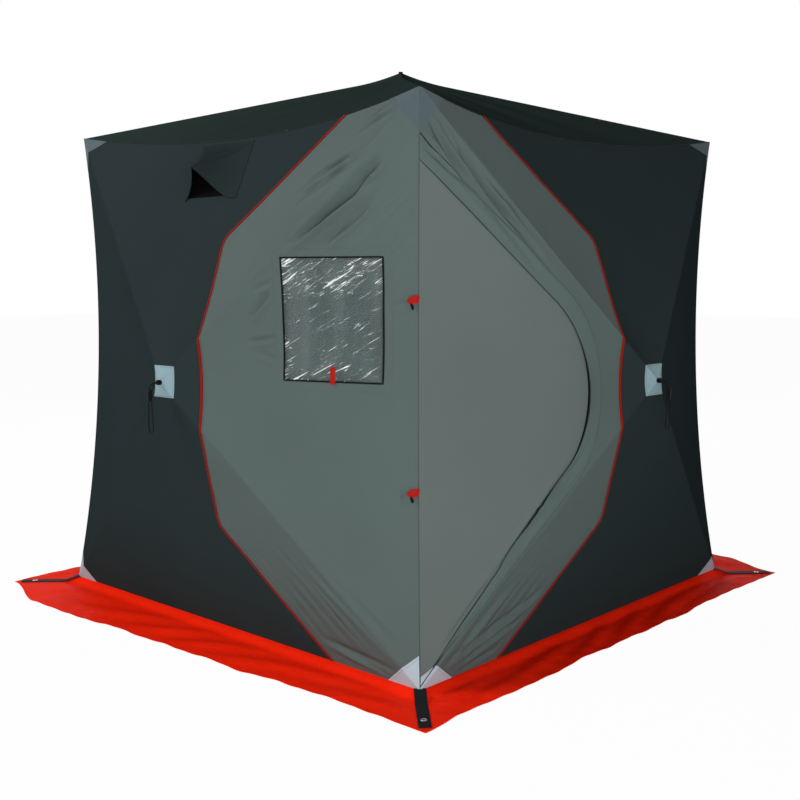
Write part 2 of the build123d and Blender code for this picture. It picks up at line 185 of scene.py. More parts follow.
class Surface:
    """Grids of points that become one mesh, joined where they meet."""

    def __init__(self) -> None:
        """Starts with no grids."""
        self.points: list[Array] = []
        self.cloth: list[Array] = []
        self.faces: list[Array] = []
        self.count = 0

    def add(self, points: Array, cloth: Optional[Array] = None,
            facing: Optional[Array] = None, wrap: bool = False) -> "Surface":
        """Adds one grid or many alike, turned so that their faces look outwards.

        Args:
            points: grids of shape (rows, columns, 3), or (grids, rows, columns, 3).
            cloth: the points' places on the flat cloth in metres, if it has any.
            facing: the side that the faces look to; without it the grid is a closed tube.
            wrap: whether the last column joins the first.

        Returns:
            This surface.
        """
        grids = points.reshape((-1,) + points.shape[-3:])
        count, rows, columns = grids.shape[:3]
        index = np.arange(count * rows * columns).reshape(count, rows, columns)
        if wrap:
            index = np.concatenate([index, index[..., :1]], axis=2)
        cells = [index[:, :-1, :-1], index[:, 1:, :-1], index[:, 1:, 1:], index[:, :-1, 1:]]
        faces = np.stack(cells, axis=-1).reshape(-1, 4)
        flat = grids.reshape(-1, 3)
        corners = flat[faces]
        normals = np.cross(corners[:, 2] - corners[:, 0], corners[:, 3] - corners[:, 1])
        if facing is None:
            middles = np.repeat(grids.mean((1, 2)), len(faces) // count, axis=0)
            outwards = (normals * (corners.mean(1) - middles)).sum()
        else:
            outwards = (normals @ np.asarray(facing, float)).sum()
        if outwards < 0:
            faces = faces[:, ::-1]
        self.points.append(flat)
        self.cloth.append(np.zeros((len(flat), 2)) if cloth is None else cloth.reshape(-1, 2))
        self.faces.append(faces + self.count)
        self.count += len(flat)
        return self

    def area(self) -> float:
        """The area of all the faces, in square metres."""
        corners = np.concatenate(self.points)[np.concatenate(self.faces)]
        across = np.cross(corners[:, 2] - corners[:, 0], corners[:, 3] - corners[:, 1])
        return float(np.linalg.norm(across, axis=1).sum() / 2)

    def piece(self, name: str) -> bpy.types.Object:
        """Makes the mesh and its object.

        Points in one place become one vertex, and a cell that loses a corner that way
        becomes a triangle.

        Args:
            name: the piece's name.

        Returns:
            The object, with its place on the flat cloth as a UV map.
        """
        points = np.concatenate(self.points)
        keys = np.round(points / MERGE).astype(np.int64)
        _, first, number = np.unique(keys, axis=0, return_index=True, return_inverse=True)
        faces = number.reshape(-1)[np.concatenate(self.faces)]
        keep = faces != np.roll(faces, -1, axis=1)
        sizes = keep.sum(1)
        faces, keep, sizes = faces[sizes > 2], keep[sizes > 2], sizes[sizes > 2]
        corners = faces[keep]
        mesh = bpy.data.meshes.new(name)
        mesh.vertices.add(len(first))
        mesh.vertices.foreach_set("co", points[first].astype(np.float32).ravel())
        mesh.loops.add(len(corners))
        mesh.loops.foreach_set("vertex_index", corners.astype(np.int32))
        mesh.polygons.add(len(sizes))
        starts = np.concatenate([[0], np.cumsum(sizes)[:-1]])
        mesh.polygons.foreach_set("loop_start", starts.astype(np.int32))
        mesh.polygons.foreach_set("use_smooth", np.ones(len(sizes), bool))
        mesh.update(calc_edges=True)
        flat = mesh.uv_layers.new(name=CLOTH_MAP)
        cloth = np.concatenate(self.cloth)[first][corners]
        flat.data.foreach_set("uv", cloth.astype(np.float32).ravel())
        mesh.validate()
        mesh.set_sharp_from_angle(angle=CREASE_ANGLE)
        return placed(name, mesh)


def thicken(piece: bpy.types.Object, thickness: float, lining: int = 0) -> bpy.types.Object:
    """Gives a sheet its thickness on its inner side.

    Args:
        piece: the sheet.
        thickness: how thick the cloth is.
        lining: how many material slots further on the inner side's material is.

    Returns:
        The same object, with a closed mesh.
    """
    modifier = piece.modifiers.new("thickness", "SOLIDIFY")
    modifier.thickness = thickness
    modifier.offset = -1.0
    modifier.material_offset = lining
    found = piece.evaluated_get(bpy.context.evaluated_depsgraph_get())
    mesh = bpy.data.meshes.new_from_object(found)
    piece.modifiers.clear()
    piece.data = mesh
    mesh.name = piece.name
    mesh.set_sharp_from_angle(angle=CREASE_ANGLE)
    return piece


def capped(tube: Array) -> Array:
    """A tube of rings with each end drawn shut at its middle."""
    ends = [np.broadcast_to(ring.mean(0), ring.shape) for ring in (tube[0], tube[-1])]
    return np.concatenate([ends[0][None], tube, ends[1][None]])


def swept(path: Array, section: Array, up: Array) -> Array:
    """A section carried along a path: each ring is the section's sideways and upward
    amounts, laid off along the path's own directions there.

    Args:
        path: points of shape (n, 3).
        section: a closed section of shape (m, 2) as sideways and upward amounts.
        up: the upward direction.

    Returns:
        Rings of shape (n, m, 3).
    """
    ahead = unit(np.gradient(path, axis=0))
    across = unit(np.cross(ahead, np.broadcast_to(up, path.shape)))
    above = np.cross(across, ahead)
    return (path[:, None] + across[:, None] * section[None, :, :1]
            + above[:, None] * section[None, :, 1:])


def oval(half: Place, sides: int, power: float = 1.0) -> Array:
    """A closed section.

    Args:
        half: half its width and half its height.
        sides: cells round it.
        power: 1 for an ellipse, less for a rounded flat strip.

    Returns:
        Powers of the cosine and the sine, times the half sizes, of shape (sides, 2).
    """
    angle = np.linspace(0, 2 * math.pi, sides, endpoint=False)
    circle = stacked(np.cos(angle), np.sin(angle))
    return np.sign(circle) * np.abs(circle) ** power * np.array(half)


def barrel(radius: float, half_length: float, power: float, rings: int, sides: int) -> Array:
    """A rounded barrel about Z.

    Its radius goes by a power of the sine, and its height by the cosine, of an angle from end
    to end; x and y are that radius times the cosine and sine of the bearing.

    Args:
        radius: its largest radius.
        half_length: half its length.
        power: how full its ends are; 1 is an ellipse and less is fuller.
        rings: cells from end to end.
        sides: cells round it.

    Returns:
        Rings of shape (rings + 1, sides, 3).
    """
    angle = np.linspace(0, math.pi, rings + 1)[:, None]
    bearing = np.linspace(0, 2 * math.pi, sides, endpoint=False)[None]
    reach = radius * np.sin(angle) ** power
    return stacked(reach * np.cos(bearing), reach * np.sin(bearing), -half_length * np.cos(angle))


# ---- Finishes


class Value:
    """A shader socket that takes part in sums; each sum adds a Math node."""

    def __init__(self, shader: "Shader", socket: bpy.types.NodeSocket) -> None:
        """Holds a socket and the shader that it belongs to."""
        self.shader = shader
        self.socket = socket

    def math(self, operation: str, *others: "Value | float") -> "Value":
        """This value and others through a Math node."""
        inputs = dict(enumerate((self, *others)))
        return self.shader.node("ShaderNodeMath", {"operation": operation}, inputs)

    def positive(self) -> "Value":
        """This value, or 0 where it is less."""
        return self.math("MAXIMUM", 0.0)

    def clamped(self) -> "Value":
        """This value held between 0 and 1."""
        return self.positive().math("MINIMUM", 1.0)

    def __add__(self, other: "Value | float") -> "Value":
        """Sum."""
        return self.math("ADD", other)

    __radd__ = __add__

    def __sub__(self, other: "Value | float") -> "Value":
        """Difference."""
        return self.math("SUBTRACT", other)

    def __rsub__(self, other: float) -> "Value":
        """A number less this value."""
        return self.shader.node("ShaderNodeMath", {"operation": "SUBTRACT"}, {0: other, 1: self})

    def __mul__(self, other: "Value | float") -> "Value":
        """Product."""
        return self.math("MULTIPLY", other)

    __rmul__ = __mul__


class Shader:
    """The nodes of one material or world."""

    def __init__(self, name: str, world: bool = False) -> None:
        """Starts an empty material, or an empty world."""
        self.owner = (bpy.data.worlds if world else bpy.data.materials).new(name)
        self.owner.use_nodes = True
        self.tree = self.owner.node_tree
        self.tree.nodes.clear()

    def node(self, kind: str, settings: Optional[dict] = None,
             inputs: Optional[dict] = None, output: Union[int, str] = 0) -> Value:
        """Adds a node.

        Args:
            kind: the node's type.
            settings: its properties.
            inputs: values or links for its sockets, by name or number.
            output: which of its outputs to give back.

        Returns:
            That output, or the node's first input where it has no output.
        """
        node = self.tree.nodes.new(kind)
        for key, setting in (settings or {}).items():
            setattr(node, key, setting)
        for key, entry in (inputs or {}).items():
            if isinstance(entry, Value):
                self.tree.links.new(entry.socket, node.inputs[key])
            else:
                node.inputs[key].default_value = entry
        return Value(self, node.outputs[output] if node.outputs else node.inputs[0])

    def place(self) -> Value:
        """The place in the hut's frame, in metres."""
        return self.node("ShaderNodeTexCoord", output="Object")

    def cloth(self) -> tuple[Value, Value]:
        """The place on the flat cloth, in metres, as two values."""
        flat = self.node("ShaderNodeUVMap", {"uv_map": CLOTH_MAP})
        return tuple(self.node("ShaderNodeSeparateXYZ", inputs={0: flat}, output=axis)
                     for axis in (0, 1))

    def flattened(self, place: Value, rise: float) -> Value:
        """A place with its height scaled, so that patterns there are drawn out upright."""
        return self.node("ShaderNodeMapping", {"vector_type": "POINT"},
                         {"Vector": place, "Scale": (1.0, 1.0, rise)})

    def point(self, *parts: "Value | float") -> Value:
        """A place from its three coordinates."""
        return self.node("ShaderNodeCombineXYZ", inputs=dict(enumerate(parts)))

    def noise(self, place: Value, scale: float, detail: float = 3.0, roughness: float = 0.5,
              distortion: float = 0.0) -> Value:
        """Smooth noise from 0 to 1."""
        return self.node("ShaderNodeTexNoise", {"noise_dimensions": "3D"}, {
            "Vector": place, "Scale": scale, "Detail": detail,
            "Roughness": roughness, "Distortion": distortion})

    def mix(self, first: "Value | Colour", second: "Value | Colour", share: Value) -> Value:
        """A colour between two."""
        inputs = {0: share}
        for number, colour in ((6, first), (7, second)):
            inputs[number] = colour if isinstance(colour, Value) else (*colour, 1.0)
        return self.node("ShaderNodeMix", {"data_type": "RGBA"}, inputs, output=2)

    def tinted(self, colour: Colour, low: float, high: float, share: Value) -> Value:
        """A colour between a darker and a lighter form of itself."""
        return self.mix(shade(colour, low), shade(colour, high), share)

    def bump(self, height: Value, distance: float, strength: float = 1.0,
             over: Optional[Value] = None) -> Value:
        """A normal from a height, over an earlier normal if there is one."""
        inputs = {"Height": height, "Distance": distance, "Strength": strength}
        if over is not None:
            inputs["Normal"] = over
        return self.node("ShaderNodeBump", inputs=inputs)

    def finish(self, **inputs: "Value | float | tuple") -> bpy.types.Material:
        """Closes the material with one shader; underscores in names stand for spaces."""
        named = {key.replace("_", " "): entry for key, entry in inputs.items()}
        surface = self.node("ShaderNodeBsdfPrincipled", inputs=named)
        self.node("ShaderNodeOutputMaterial", inputs={"Surface": surface})
        return self.owner


def shade(colour: Colour, factor: float) -> Colour:
    """A colour made darker or lighter by a factor."""
    return tuple(min(part * factor, 1.0) for part in colour)


@dataclass(frozen=True)
class Cloth:
    """Coated polyester: a fine plain weave, soft crinkles and a slightly uneven tone."""

    name: str
    colour: Colour
    roughness: float = 0.62
    crinkle: float = 0.0016
    tone: float = 0.10
    specular: float = 0.05
    sheen: float = 0.0
    creases: float = 0.0
    weave_pitch: float = 0.0016
    weave_height: float = 0.00012
    tone_scale: float = 2.6
    grain_scale: float = 160.0
    crumple_scale: float = 11.0
    ripple_scale: float = 34.0
    crease_slope: float = 0.95
    crease_levels: tuple[float, float] = (1.38, 0.20)
    crease_fade: float = 4.0
    crease_scales: tuple[float, float] = (4.0, 48.0)
    pole_fade: float = 14.0
    pole_lap: float = 0.2

    def pulled(self, shader: Shader, across: Value, along: Value) -> Value:
        """Fine creases that run down from a wall's top corner and up from its foot corner.

        They are noise drawn out along a slope to the corner. They fade with the height above
        or below a level of their own, and end at the lines of the poles.

        Args:
            shader: the material that they are part of.
            across: how far across the wall the place is.
            along: how high up the wall it is.

        Returns:
            The creases' height, from 0 to 1.
        """
        out = across.math("ABSOLUTE")
        length = math.hypot(1.0, self.crease_slope)
        steep, level = self.crease_slope / length, 1.0 / length
        parts = []
        for middle, rise in zip(self.crease_levels, (1.0, -1.0)):
            run = (out * level + along * (steep * rise)) * self.crease_scales[0]
            side = (out * -steep + along * (level * rise)) * self.crease_scales[1]
            near = (1.0 - ((along - middle) * self.crease_fade).math("ABSOLUTE")).positive()
            within = (out - (along - SHAPE.hub_height) * rise) * (self.pole_fade * rise)
            lines = shader.noise(shader.point(run, side, rise), 1.0, 2.0, 0.45)
            parts.append(lines * near * (within + self.pole_lap).clamped())
        return parts[0] + parts[1]

    def material(self) -> bpy.types.Material:
        """Tone from slow noise, crinkles from noise in two sizes, creases where the cloth has
        them, and a weave from the product of two crossed sines."""
        shader = Shader(self.name)
        place = shader.place()
        across, along = shader.cloth()
        fine = shader.noise(place, self.grain_scale, 2.0)
        share = shader.noise(place, self.tone_scale, 3.0) * 0.8 + fine * 0.2
        base = shader.tinted(self.colour, 1 - self.tone, 1 + self.tone, share)
        crumple = shader.noise(place, self.crumple_scale, 4.0, 0.55, 0.6)
        ripple = shader.noise(shader.flattened(place, 0.35), self.ripple_scale, 3.0)
        normal = shader.bump(crumple * 0.75 + ripple * 0.25, self.crinkle, 0.9)
        if self.creases > 0:
            normal = shader.bump(self.pulled(shader, across, along), self.creases, 0.8, normal)
        turns = 2 * math.pi / self.weave_pitch
        weave = (across * turns).math("SINE") * (along * turns).math("SINE")
        normal = shader.bump(weave, self.weave_height, 0.5, normal)
        rough = fine * 0.12 + (self.roughness - 0.06)
        return shader.finish(Base_Color=base, Roughness=rough, Normal=normal,
                             Specular_IOR_Level=self.specular, Sheen_Weight=self.sheen,
                             Sheen_Tint=(*self.colour, 1.0))


@dataclass(frozen=True)
class Tape:
    """Woven webbing or piping: slanting ribs across it, their raised tops painted lighter as a
    highlight, and broken up by grain.
    """

    name: str
    colour: Colour
    rib_pitch: float = 0.0022
    roughness: float = 0.6
    rib_slant: float = 0.6
    rib_height: float = 0.0004
    rib_share: float = 0.55
    grain_scale: float = 420.0
    specular: float = 0.05

    def material(self) -> bpy.types.Material:
        """Ribs are a sine of the length along the tape, which slants across it, mixed with noise."""
        shader = Shader(self.name)
        across, along = shader.cloth()
        grain = shader.noise(shader.place(), self.grain_scale, 2.0)
        turns = 2 * math.pi / self.rib_pitch
        rib = ((along + across * self.rib_slant) * turns).math("SINE") * 0.5 + 0.5
        share = rib * self.rib_share + grain * (1 - self.rib_share)
        # painted highlight: the ribs' raised tops are also lighter in colour
        base = shader.tinted(self.colour, 0.78, 1.12, share)
        normal = shader.bump(share, self.rib_height, 0.6)
        return shader.finish(Base_Color=base, Roughness=grain * 0.2 + (self.roughness - 0.1),
                             Normal=normal, Specular_IOR_Level=self.specular)


@dataclass(frozen=True)
class Moulded:
    """Moulded plastic or coated metal: fine grain, faint scuffs and uneven gloss."""

    name: str
    colour: Colour
    roughness: float = 0.5
    metallic: float = 0.0
    grain: float = 260.0
    grain_height: float = 0.00025
    scuff_scale: float = 70.0
    scuff_from: float = 0.62
    specular: float = 0.04

    def material(self) -> bpy.types.Material:
        """Grain from fine noise, scuffs where slower noise is high."""
        shader = Shader(self.name)
        place = shader.place()
        grain = shader.noise(place, self.grain, 3.0)
        scuff = shader.noise(shader.flattened(place, 0.3), self.scuff_scale, 4.0, 0.6)
        worn = (scuff - self.scuff_from).positive() * 2.2
        base = shader.tinted(self.colour, 0.9, 1.5, grain * 0.5 + worn)
        normal = shader.bump(grain, self.grain_height, 0.4)
        rough = grain * 0.15 + worn * 0.2 + self.roughness - 0.1
        return shader.finish(Base_Color=base, Roughness=rough, Metallic=self.metallic,
                             Normal=normal, Specular_IOR_Level=self.specular)


@dataclass(frozen=True)
class Braid:
    """Braided cord: lumpy strands drawn out upright, under a fine fuzz."""

    name: str
    colour: Colour
    strand_scale: float = 520.0
    strand_height: float = 0.0006
    fuzz_scale: float = 900.0
    specular: float = 0.05

    def material(self) -> bpy.types.Material:
        """Strands are noise drawn out upright, and the fuzz is finer noise over them."""
        shader = Shader(self.name)
        place = shader.place()
        fuzz = shader.noise(place, self.fuzz_scale, 2.0)
        strands = shader.noise(shader.flattened(place, 0.5), self.strand_scale, 1.0)
        share = strands * 0.7 + fuzz * 0.3
        base = shader.tinted(self.colour, 0.6, 1.8, share)
        normal = shader.bump(strands, self.strand_height, 0.7)
        return shader.finish(Base_Color=base, Roughness=fuzz * 0.2 + 0.6, Normal=normal,
                             Specular_IOR_Level=self.specular)


@dataclass(frozen=True)
class Vinyl:
    """Clear soft vinyl: thin and glossy, with a haze, and white streaks in its colour that are partly
    whitened creases and partly painted glints.
    """

    name: str
    colour: Colour
    edge: float
    sill: float
    high: float = 1.105
    slant: float = 0.56
    short_slant: float = 0.21
    whitening_and_glint: Colour = (0.93, 0.96, 0.96)
    long_cut: float = 0.724
    short_cut: float = 0.764
    band_from: float = 0.38
    clear: float = 0.04

    def glint_streaks(self, shader: Shader, slant: float, along: float, aside: float, cut: Value) -> Value:
        """Short thin white marks, partly whitened creases and partly painted glints: noise drawn out
        along a slant and cut off high.

        Args:
            shader: the material that they are part of.
            slant: the marks' angle.
            along: how often they start anew along the slant, to the metre.
            aside: how close together they lie, to the metre.
            cut: what the noise has to pass.

        Returns:
            1 on a mark and 0 beside it.
        """
        across, up = shader.cloth()
        far = across * math.cos(slant) + up * math.sin(slant)
        off = up * math.cos(slant) - across * math.sin(slant)
        drawn = shader.point(far * along, off * aside, up * 9.0)
        noise = shader.noise(drawn, 1.0, 4.0, 0.62, 0.9)
        return ((noise - cut) * 9.0).clamped()

    def material(self) -> bpy.types.Material:
        """Long thin white streaks, partly whitened creases and partly painted glints, most of them in
        the upper third, and short ones along the inner edge and over the foot, on a faint haze that
        hangs in upright bands and thickens towards the top and the inner edge."""
        shader = Shader(self.name)
        across, up = shader.cloth()
        slow = shader.noise(shader.place(), 9.0, 2.0)
        high = ((up - self.high) * 14.0).clamped()
        near = ((across - self.edge) * -16.0 + 1.0).positive()
        foot = ((up - self.sill) * -12.0 + 1.0).positive()
        crowd = high * 0.050 + near * 0.046 + foot * 0.034 + slow * 0.22
        long = self.glint_streaks(shader, self.slant, 13.0, 150.0, self.long_cut - crowd)
        short = self.glint_streaks(shader, self.short_slant, 34.0, 130.0, self.short_cut - crowd)
        # painted glints: these white marks in the pane's colour stand in for highlights, and are partly
        # whitened creases
        whitening_and_glint = long.math("MAXIMUM", short * 0.8)
        bands = shader.noise(shader.point(across * 15.0, up * 2.4, 0.0), 1.0, 2.0)
        hung = (bands - self.band_from).positive() * 0.5
        haze = slow * 0.10 + hung + high * 0.04 + near * 0.05
        base = shader.mix(self.colour, self.whitening_and_glint, whitening_and_glint)
        normal = shader.bump(shader.noise(shader.place(), 22.0, 2.0), 0.004, 0.5)
        return shader.finish(Base_Color=base, Roughness=haze * 0.3 + 0.10, Normal=normal,
                             Alpha=whitening_and_glint * 0.85 + haze + self.clear, Specular_IOR_Level=0.22)


@dataclass(frozen=True)
class Cut:
    """What a sheet is cut from, what it rests on and how it is held."""

    flat: tuple[float, float]
    rests_on: str
    held: str = "stretched"
    most: float = math.inf
    thickness: float = 0.0016


class Finishes:
    """The hut's materials, each made once."""

    def __init__(self) -> None:
        """Makes every finish."""
        grey, dark = (0.083, 0.112, 0.107), (0.0225, 0.0330, 0.0345)
        red = (0.950, 0.018, 0.003)
        kinds = {
            "grey": Cloth("grey_fabric", grey, crinkle=0.0034, creases=0.012),
            "door": Cloth("door_fabric", (0.115, 0.140, 0.134)),
            "flap": Cloth("storm_flap_fabric", (0.093, 0.128, 0.120), creases=0.006),
            "dark": Cloth("dark_fabric", dark, roughness=0.75, specular=0.0),
            # painted light: the roof cloth is the dark wall cloth made a little lighter, for the dimmer
            # light on the roof
            "roof": Cloth("roof_fabric", (0.0245, 0.0385, 0.0360), roughness=0.75, specular=0.0),
            # painted shade: the hood cloth is the dark wall cloth made darker
            "hood": Cloth("vent_hood_shaded_fabric", shade(dark, 0.84), roughness=0.75, specular=0.0),
            "lining": Cloth("inner_lining", (0.012, 0.013, 0.014), roughness=0.75),
            # partly painted shade: this near-black cloth lines the hoods and makes the sheet behind
            # them, so that the vent mouths read as dark
            "hood_lining_and_shade": Cloth("hood_lining_and_shade", (0.0015, 0.0015, 0.0016), roughness=0.9, specular=0.05),
            "red": Cloth("skirt_fabric", red, roughness=0.48, crinkle=0.0070, tone=0.08,
                         specular=0.02, sheen=0.3),
            "silver": Cloth("reinforcing_fabric", (0.240, 0.345, 0.385), roughness=0.5, crinkle=0.0030),
            # painted shade and light: the top and foot patches are the hub patch's silver cloth made
            # darker at the top corners and lighter at the feet
            "silver_painted_shade": Cloth("top_patch_fabric", (0.076, 0.104, 0.116), roughness=0.5,
                                crinkle=0.0008),
            "silver_painted_light": Cloth("foot_patch_fabric", (0.38, 0.47, 0.53), roughness=0.5, crinkle=0.0020),
            # painted shade: the blind is the grey wall cloth made darker
            "blind": Cloth("window_blind_shaded_fabric", (0.058, 0.083, 0.079), roughness=0.7, crinkle=0.003),
            # partly painted shadow: the flap's dark hem also stands for the shadow line under its free
            # edge
            "hem_and_shadow": Tape("flap_hem_and_shadow", (0.024, 0.031, 0.030), rib_pitch=0.0010),
            "piping": Tape("red_piping", (0.230, 0.010, 0.005)),
            "red_tape": Tape("red_webbing", (0.360, 0.011, 0.007)),
            "black_tape": Tape("black_webbing", (0.010, 0.011, 0.012)),
            "binding": Tape("black_binding", (0.006, 0.007, 0.007), rib_pitch=0.0014),
            "thread": Tape("grey_thread", (0.070, 0.090, 0.086), rib_pitch=0.0008),
            "dark_thread": Tape("black_thread", (0.012, 0.013, 0.014), rib_pitch=0.0008),
            "vinyl": Vinyl("clear_vinyl", (0.20, 0.25, 0.245), WINDOW.inner, WINDOW.sill),
            "plastic": Moulded("black_plastic", (0.004, 0.004, 0.005), 0.5),
            "pole": Moulded("pole_glassfibre", (0.020, 0.020, 0.022), 0.35, grain=500.0),
            "bolt": Moulded("black_metal", (0.005, 0.005, 0.006), 0.42),
            "steel": Moulded("grommet_metal", (0.420, 0.420, 0.410), 0.34, 1.0),
            "cord": Braid("black_cord", (0.006, 0.006, 0.007)),
            "zip": Tape("zip_coil", (0.006, 0.006, 0.007), rib_pitch=0.0030, roughness=0.45),
        }
        self.materials = {key: kind.material() for key, kind in kinds.items()}

    def dress(self, piece: bpy.types.Object, *keys: str) -> bpy.types.Object:
        """Gives a piece its materials, in the order of its slots."""
        piece.data.materials.clear()
        for key in keys:
            piece.data.materials.append(self.materials[key])
        return piece

    def make(self, surface: Surface, name: str, key: str, slot: Slot,
             body: Optional[Body] = Body.SHELTER, replaced: Sequence[str] = ()) -> bpy.types.Object:
        """Makes a surface into a piece with one finish, and settles it."""
        return settle(self.dress(surface.piece(name), key), slot, body, replaced)

    def sheet(self, surface: Surface, name: str, cut: Cut, *keys: str) -> bpy.types.Object:
        """Makes a surface into a sheet that is thickened on its inner side.

        Args:
            surface: its outer face.
            name: the piece's name.
            cut: what it is cut from.
            keys: its outer finish, and its inner one if that differs.

        Returns:
            The piece, not yet settled.
        """
        piece = thicken(self.dress(surface.piece(name), *keys), cut.thickness, len(keys) - 1)
        min(surface.area(), cut.most)
        return piece


def settle(piece: bpy.types.Object, slot: Slot, body: Optional[Body] = Body.SHELTER,
           replaced: Sequence[str] = ()) -> bpy.types.Object:
    """Names a piece's slot, what it moves with and the CAD nodes that it stands for.

    Args:
        piece: the finished piece.
        slot: its material slot; not used.
        body: the body that it rides on, or none to leave it unattached.
        replaced: CAD nodes that it stands for.

    Returns:
        The piece.
    """
    if body is not None:
        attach(piece, body.value)
    if replaced:
        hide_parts(*replaced)
    LOG.info("%s: %d faces", piece.name, len(getattr(piece.data, "polygons", ())))
    return piece


# ---- Walls


@dataclass(frozen=True)
class Fold:
    """A soft crease along a slightly bowed line: a groove with a raised lip beside it."""

    start: Place
    end: Place
    height: float
    width: float
    bow: float = 0.0
    lip: float = 0.55
    lip_at: float = 1.5

    def lift(self, place: Array) -> Array:
        """A bell across the line, less a lower one beside it, times a hump that fades out just
        past both ends.

        Args:
            place: places (u, z) in the last axis.

        Returns:
            How far the cloth is lifted there.
        """
        start = np.array(self.start)
        way = np.array(self.end) - start
        length = np.linalg.norm(way)
        ahead = way / length
        aside = np.array([-ahead[1], ahead[0]])
        offset = place - start
        share = np.clip(offset @ ahead / length, -0.25, 1.25)
        hump = np.clip(4 * (share + 0.12) * (1.12 - share) / 1.54, 0, 1) ** 0.8
        away = (offset @ aside - self.bow * 4 * share * (1 - share)) / self.width
        bells = np.exp(-away ** 2) - self.lip * np.exp(-((away - self.lip_at) ** 2))
        return self.height * hump * bells


@dataclass(frozen=True)
class WallShape:
    """The taut outside of a wall: straight rays from its hub to its bowed rim."""

    half_eave: float = 0.840
    half_base: float = 0.890
    corner_height: float = 1.700
    foot: float = 0.022
    hub_reach: float = 1.116
    hub_height: float = 0.855
    eave_bow: float = 0.092 * math.sqrt(0.5)
    seam_bow: float = 0.065 * math.sqrt(0.5)

    def sag(self, u: Number) -> Number:
        """How far the roof seam hangs down: a parabola that is lowest at the wall's middle."""
        return self.eave_bow * (1 - (u / self.half_eave) ** 2)

    def eave(self, u: Number) -> Number:
        """The roof seam's height."""
        return self.corner_height - self.sag(u)

    def seam(self, z: Number) -> Number:
        """The corner seam's distance out: an even slope less a parabola."""
        share = (self.corner_height - z) / (self.corner_height - self.foot)
        even = self.half_eave + (self.half_base - self.half_eave) * share
        return even - 4 * self.seam_bow * share * (1 - share)

    def eave_run(self, start: float, end: float, cells: int) -> Array:
        """Places along the roof seam."""
        u = np.linspace(start, end, cells + 1)
        return stacked(u, self.eave(u))

    def seam_run(self, start: float, end: float, cells: int) -> Array:
        """Places along the right-hand corner seam."""
        z = np.linspace(start, end, cells + 1)
        return stacked(self.seam(z), z)

    def eave_edge(self, cells: int) -> Array:
        """Points along the front wall's roof seam, which goes in as far as it hangs down."""
        u = np.linspace(-self.half_eave, self.half_eave, cells + 1)
        return stacked(u, self.sag(u) - self.half_eave, self.eave(u))

    def on_ridge(self, u: float, upper: bool) -> Place:
        """The place that is so far across on an upper or a lower pole's ridge."""
        end = (self.half_eave, self.corner_height) if upper else (self.half_base, self.foot)
        return u, self.hub_height + abs(u) * (end[1] - self.hub_height) / end[0]

    def ridge_gap(self, place: Array) -> Array:
        """How far a place is from the nearest pole ridge, in the wall's elevation.

        Args:
            place: places (u, z) in the last axis.

        Returns:
            The distance to the nearer of two straight lines from the hub to the corners.
        """
        u, rise = np.abs(place[..., 0]), place[..., 1] - self.hub_height
        gaps = []
        for half, height in ((self.half_eave, self.corner_height), (self.half_base, self.foot)):
            fall = height - self.hub_height
            gaps.append(np.abs(u * fall - rise * half) / math.hypot(fall, half))
        return np.minimum(*gaps)

    def rim_gap(self, place: Array) -> Array:
        """How far a place is from the wall's edge, roughly."""
        u, z = np.abs(place[..., 0]), place[..., 1]
        return np.minimum(np.minimum(self.seam(z) - u, self.eave(u) - z), z - self.foot)

    def out(self, place: Array) -> Array:
        """How far out the taut cloth is.

        A ray from the hub through the place meets the rim, which is a parabola at the top
        and the sides, so that point comes from a quadratic; the distance out falls off
        evenly along the ray.

        Args:
            place: places (u, z) in the last axis.

        Returns:
            The distance from the hut's centre plane.
        """
        u = np.maximum(np.abs(place[..., 0]), 1e-9)
        rise = place[..., 1] - self.hub_height
        up, down = self.corner_height - self.hub_height, self.hub_height - self.foot
        a, b, e, s = self.half_eave, self.half_base, self.eave_bow, self.seam_bow
        k = u / np.maximum(rise, 1e-9)
        root = np.sqrt(np.maximum(a * a - 4 * k * k * e * (up - e), 0))
        bowed = e * (1 - (2 * k * (up - e) / (a + root)) ** 2)
        top = self.hub_reach + rise / (up - bowed) * (a - bowed - self.hub_reach)
        k = rise / u
        first, second, third = 4 * k * s, k * (b - a - 4 * s) + up + down, k * a - up
        root = np.sqrt(np.maximum(second ** 2 - 4 * first * third, 0))
        share = -2 * third / (second + root)
        reach = a + (b - a) * share - 4 * s * share * (1 - share)
        side = self.hub_reach + u / reach * (reach - self.hub_reach)
        low = self.hub_reach - rise / down * (b - self.hub_reach)
        out = np.where(rise > u * up / a, top, side)
        return np.where(-rise > u * down / b, low, out)


SHAPE = WallShape()
HUB = (0.0, SHAPE.hub_height)


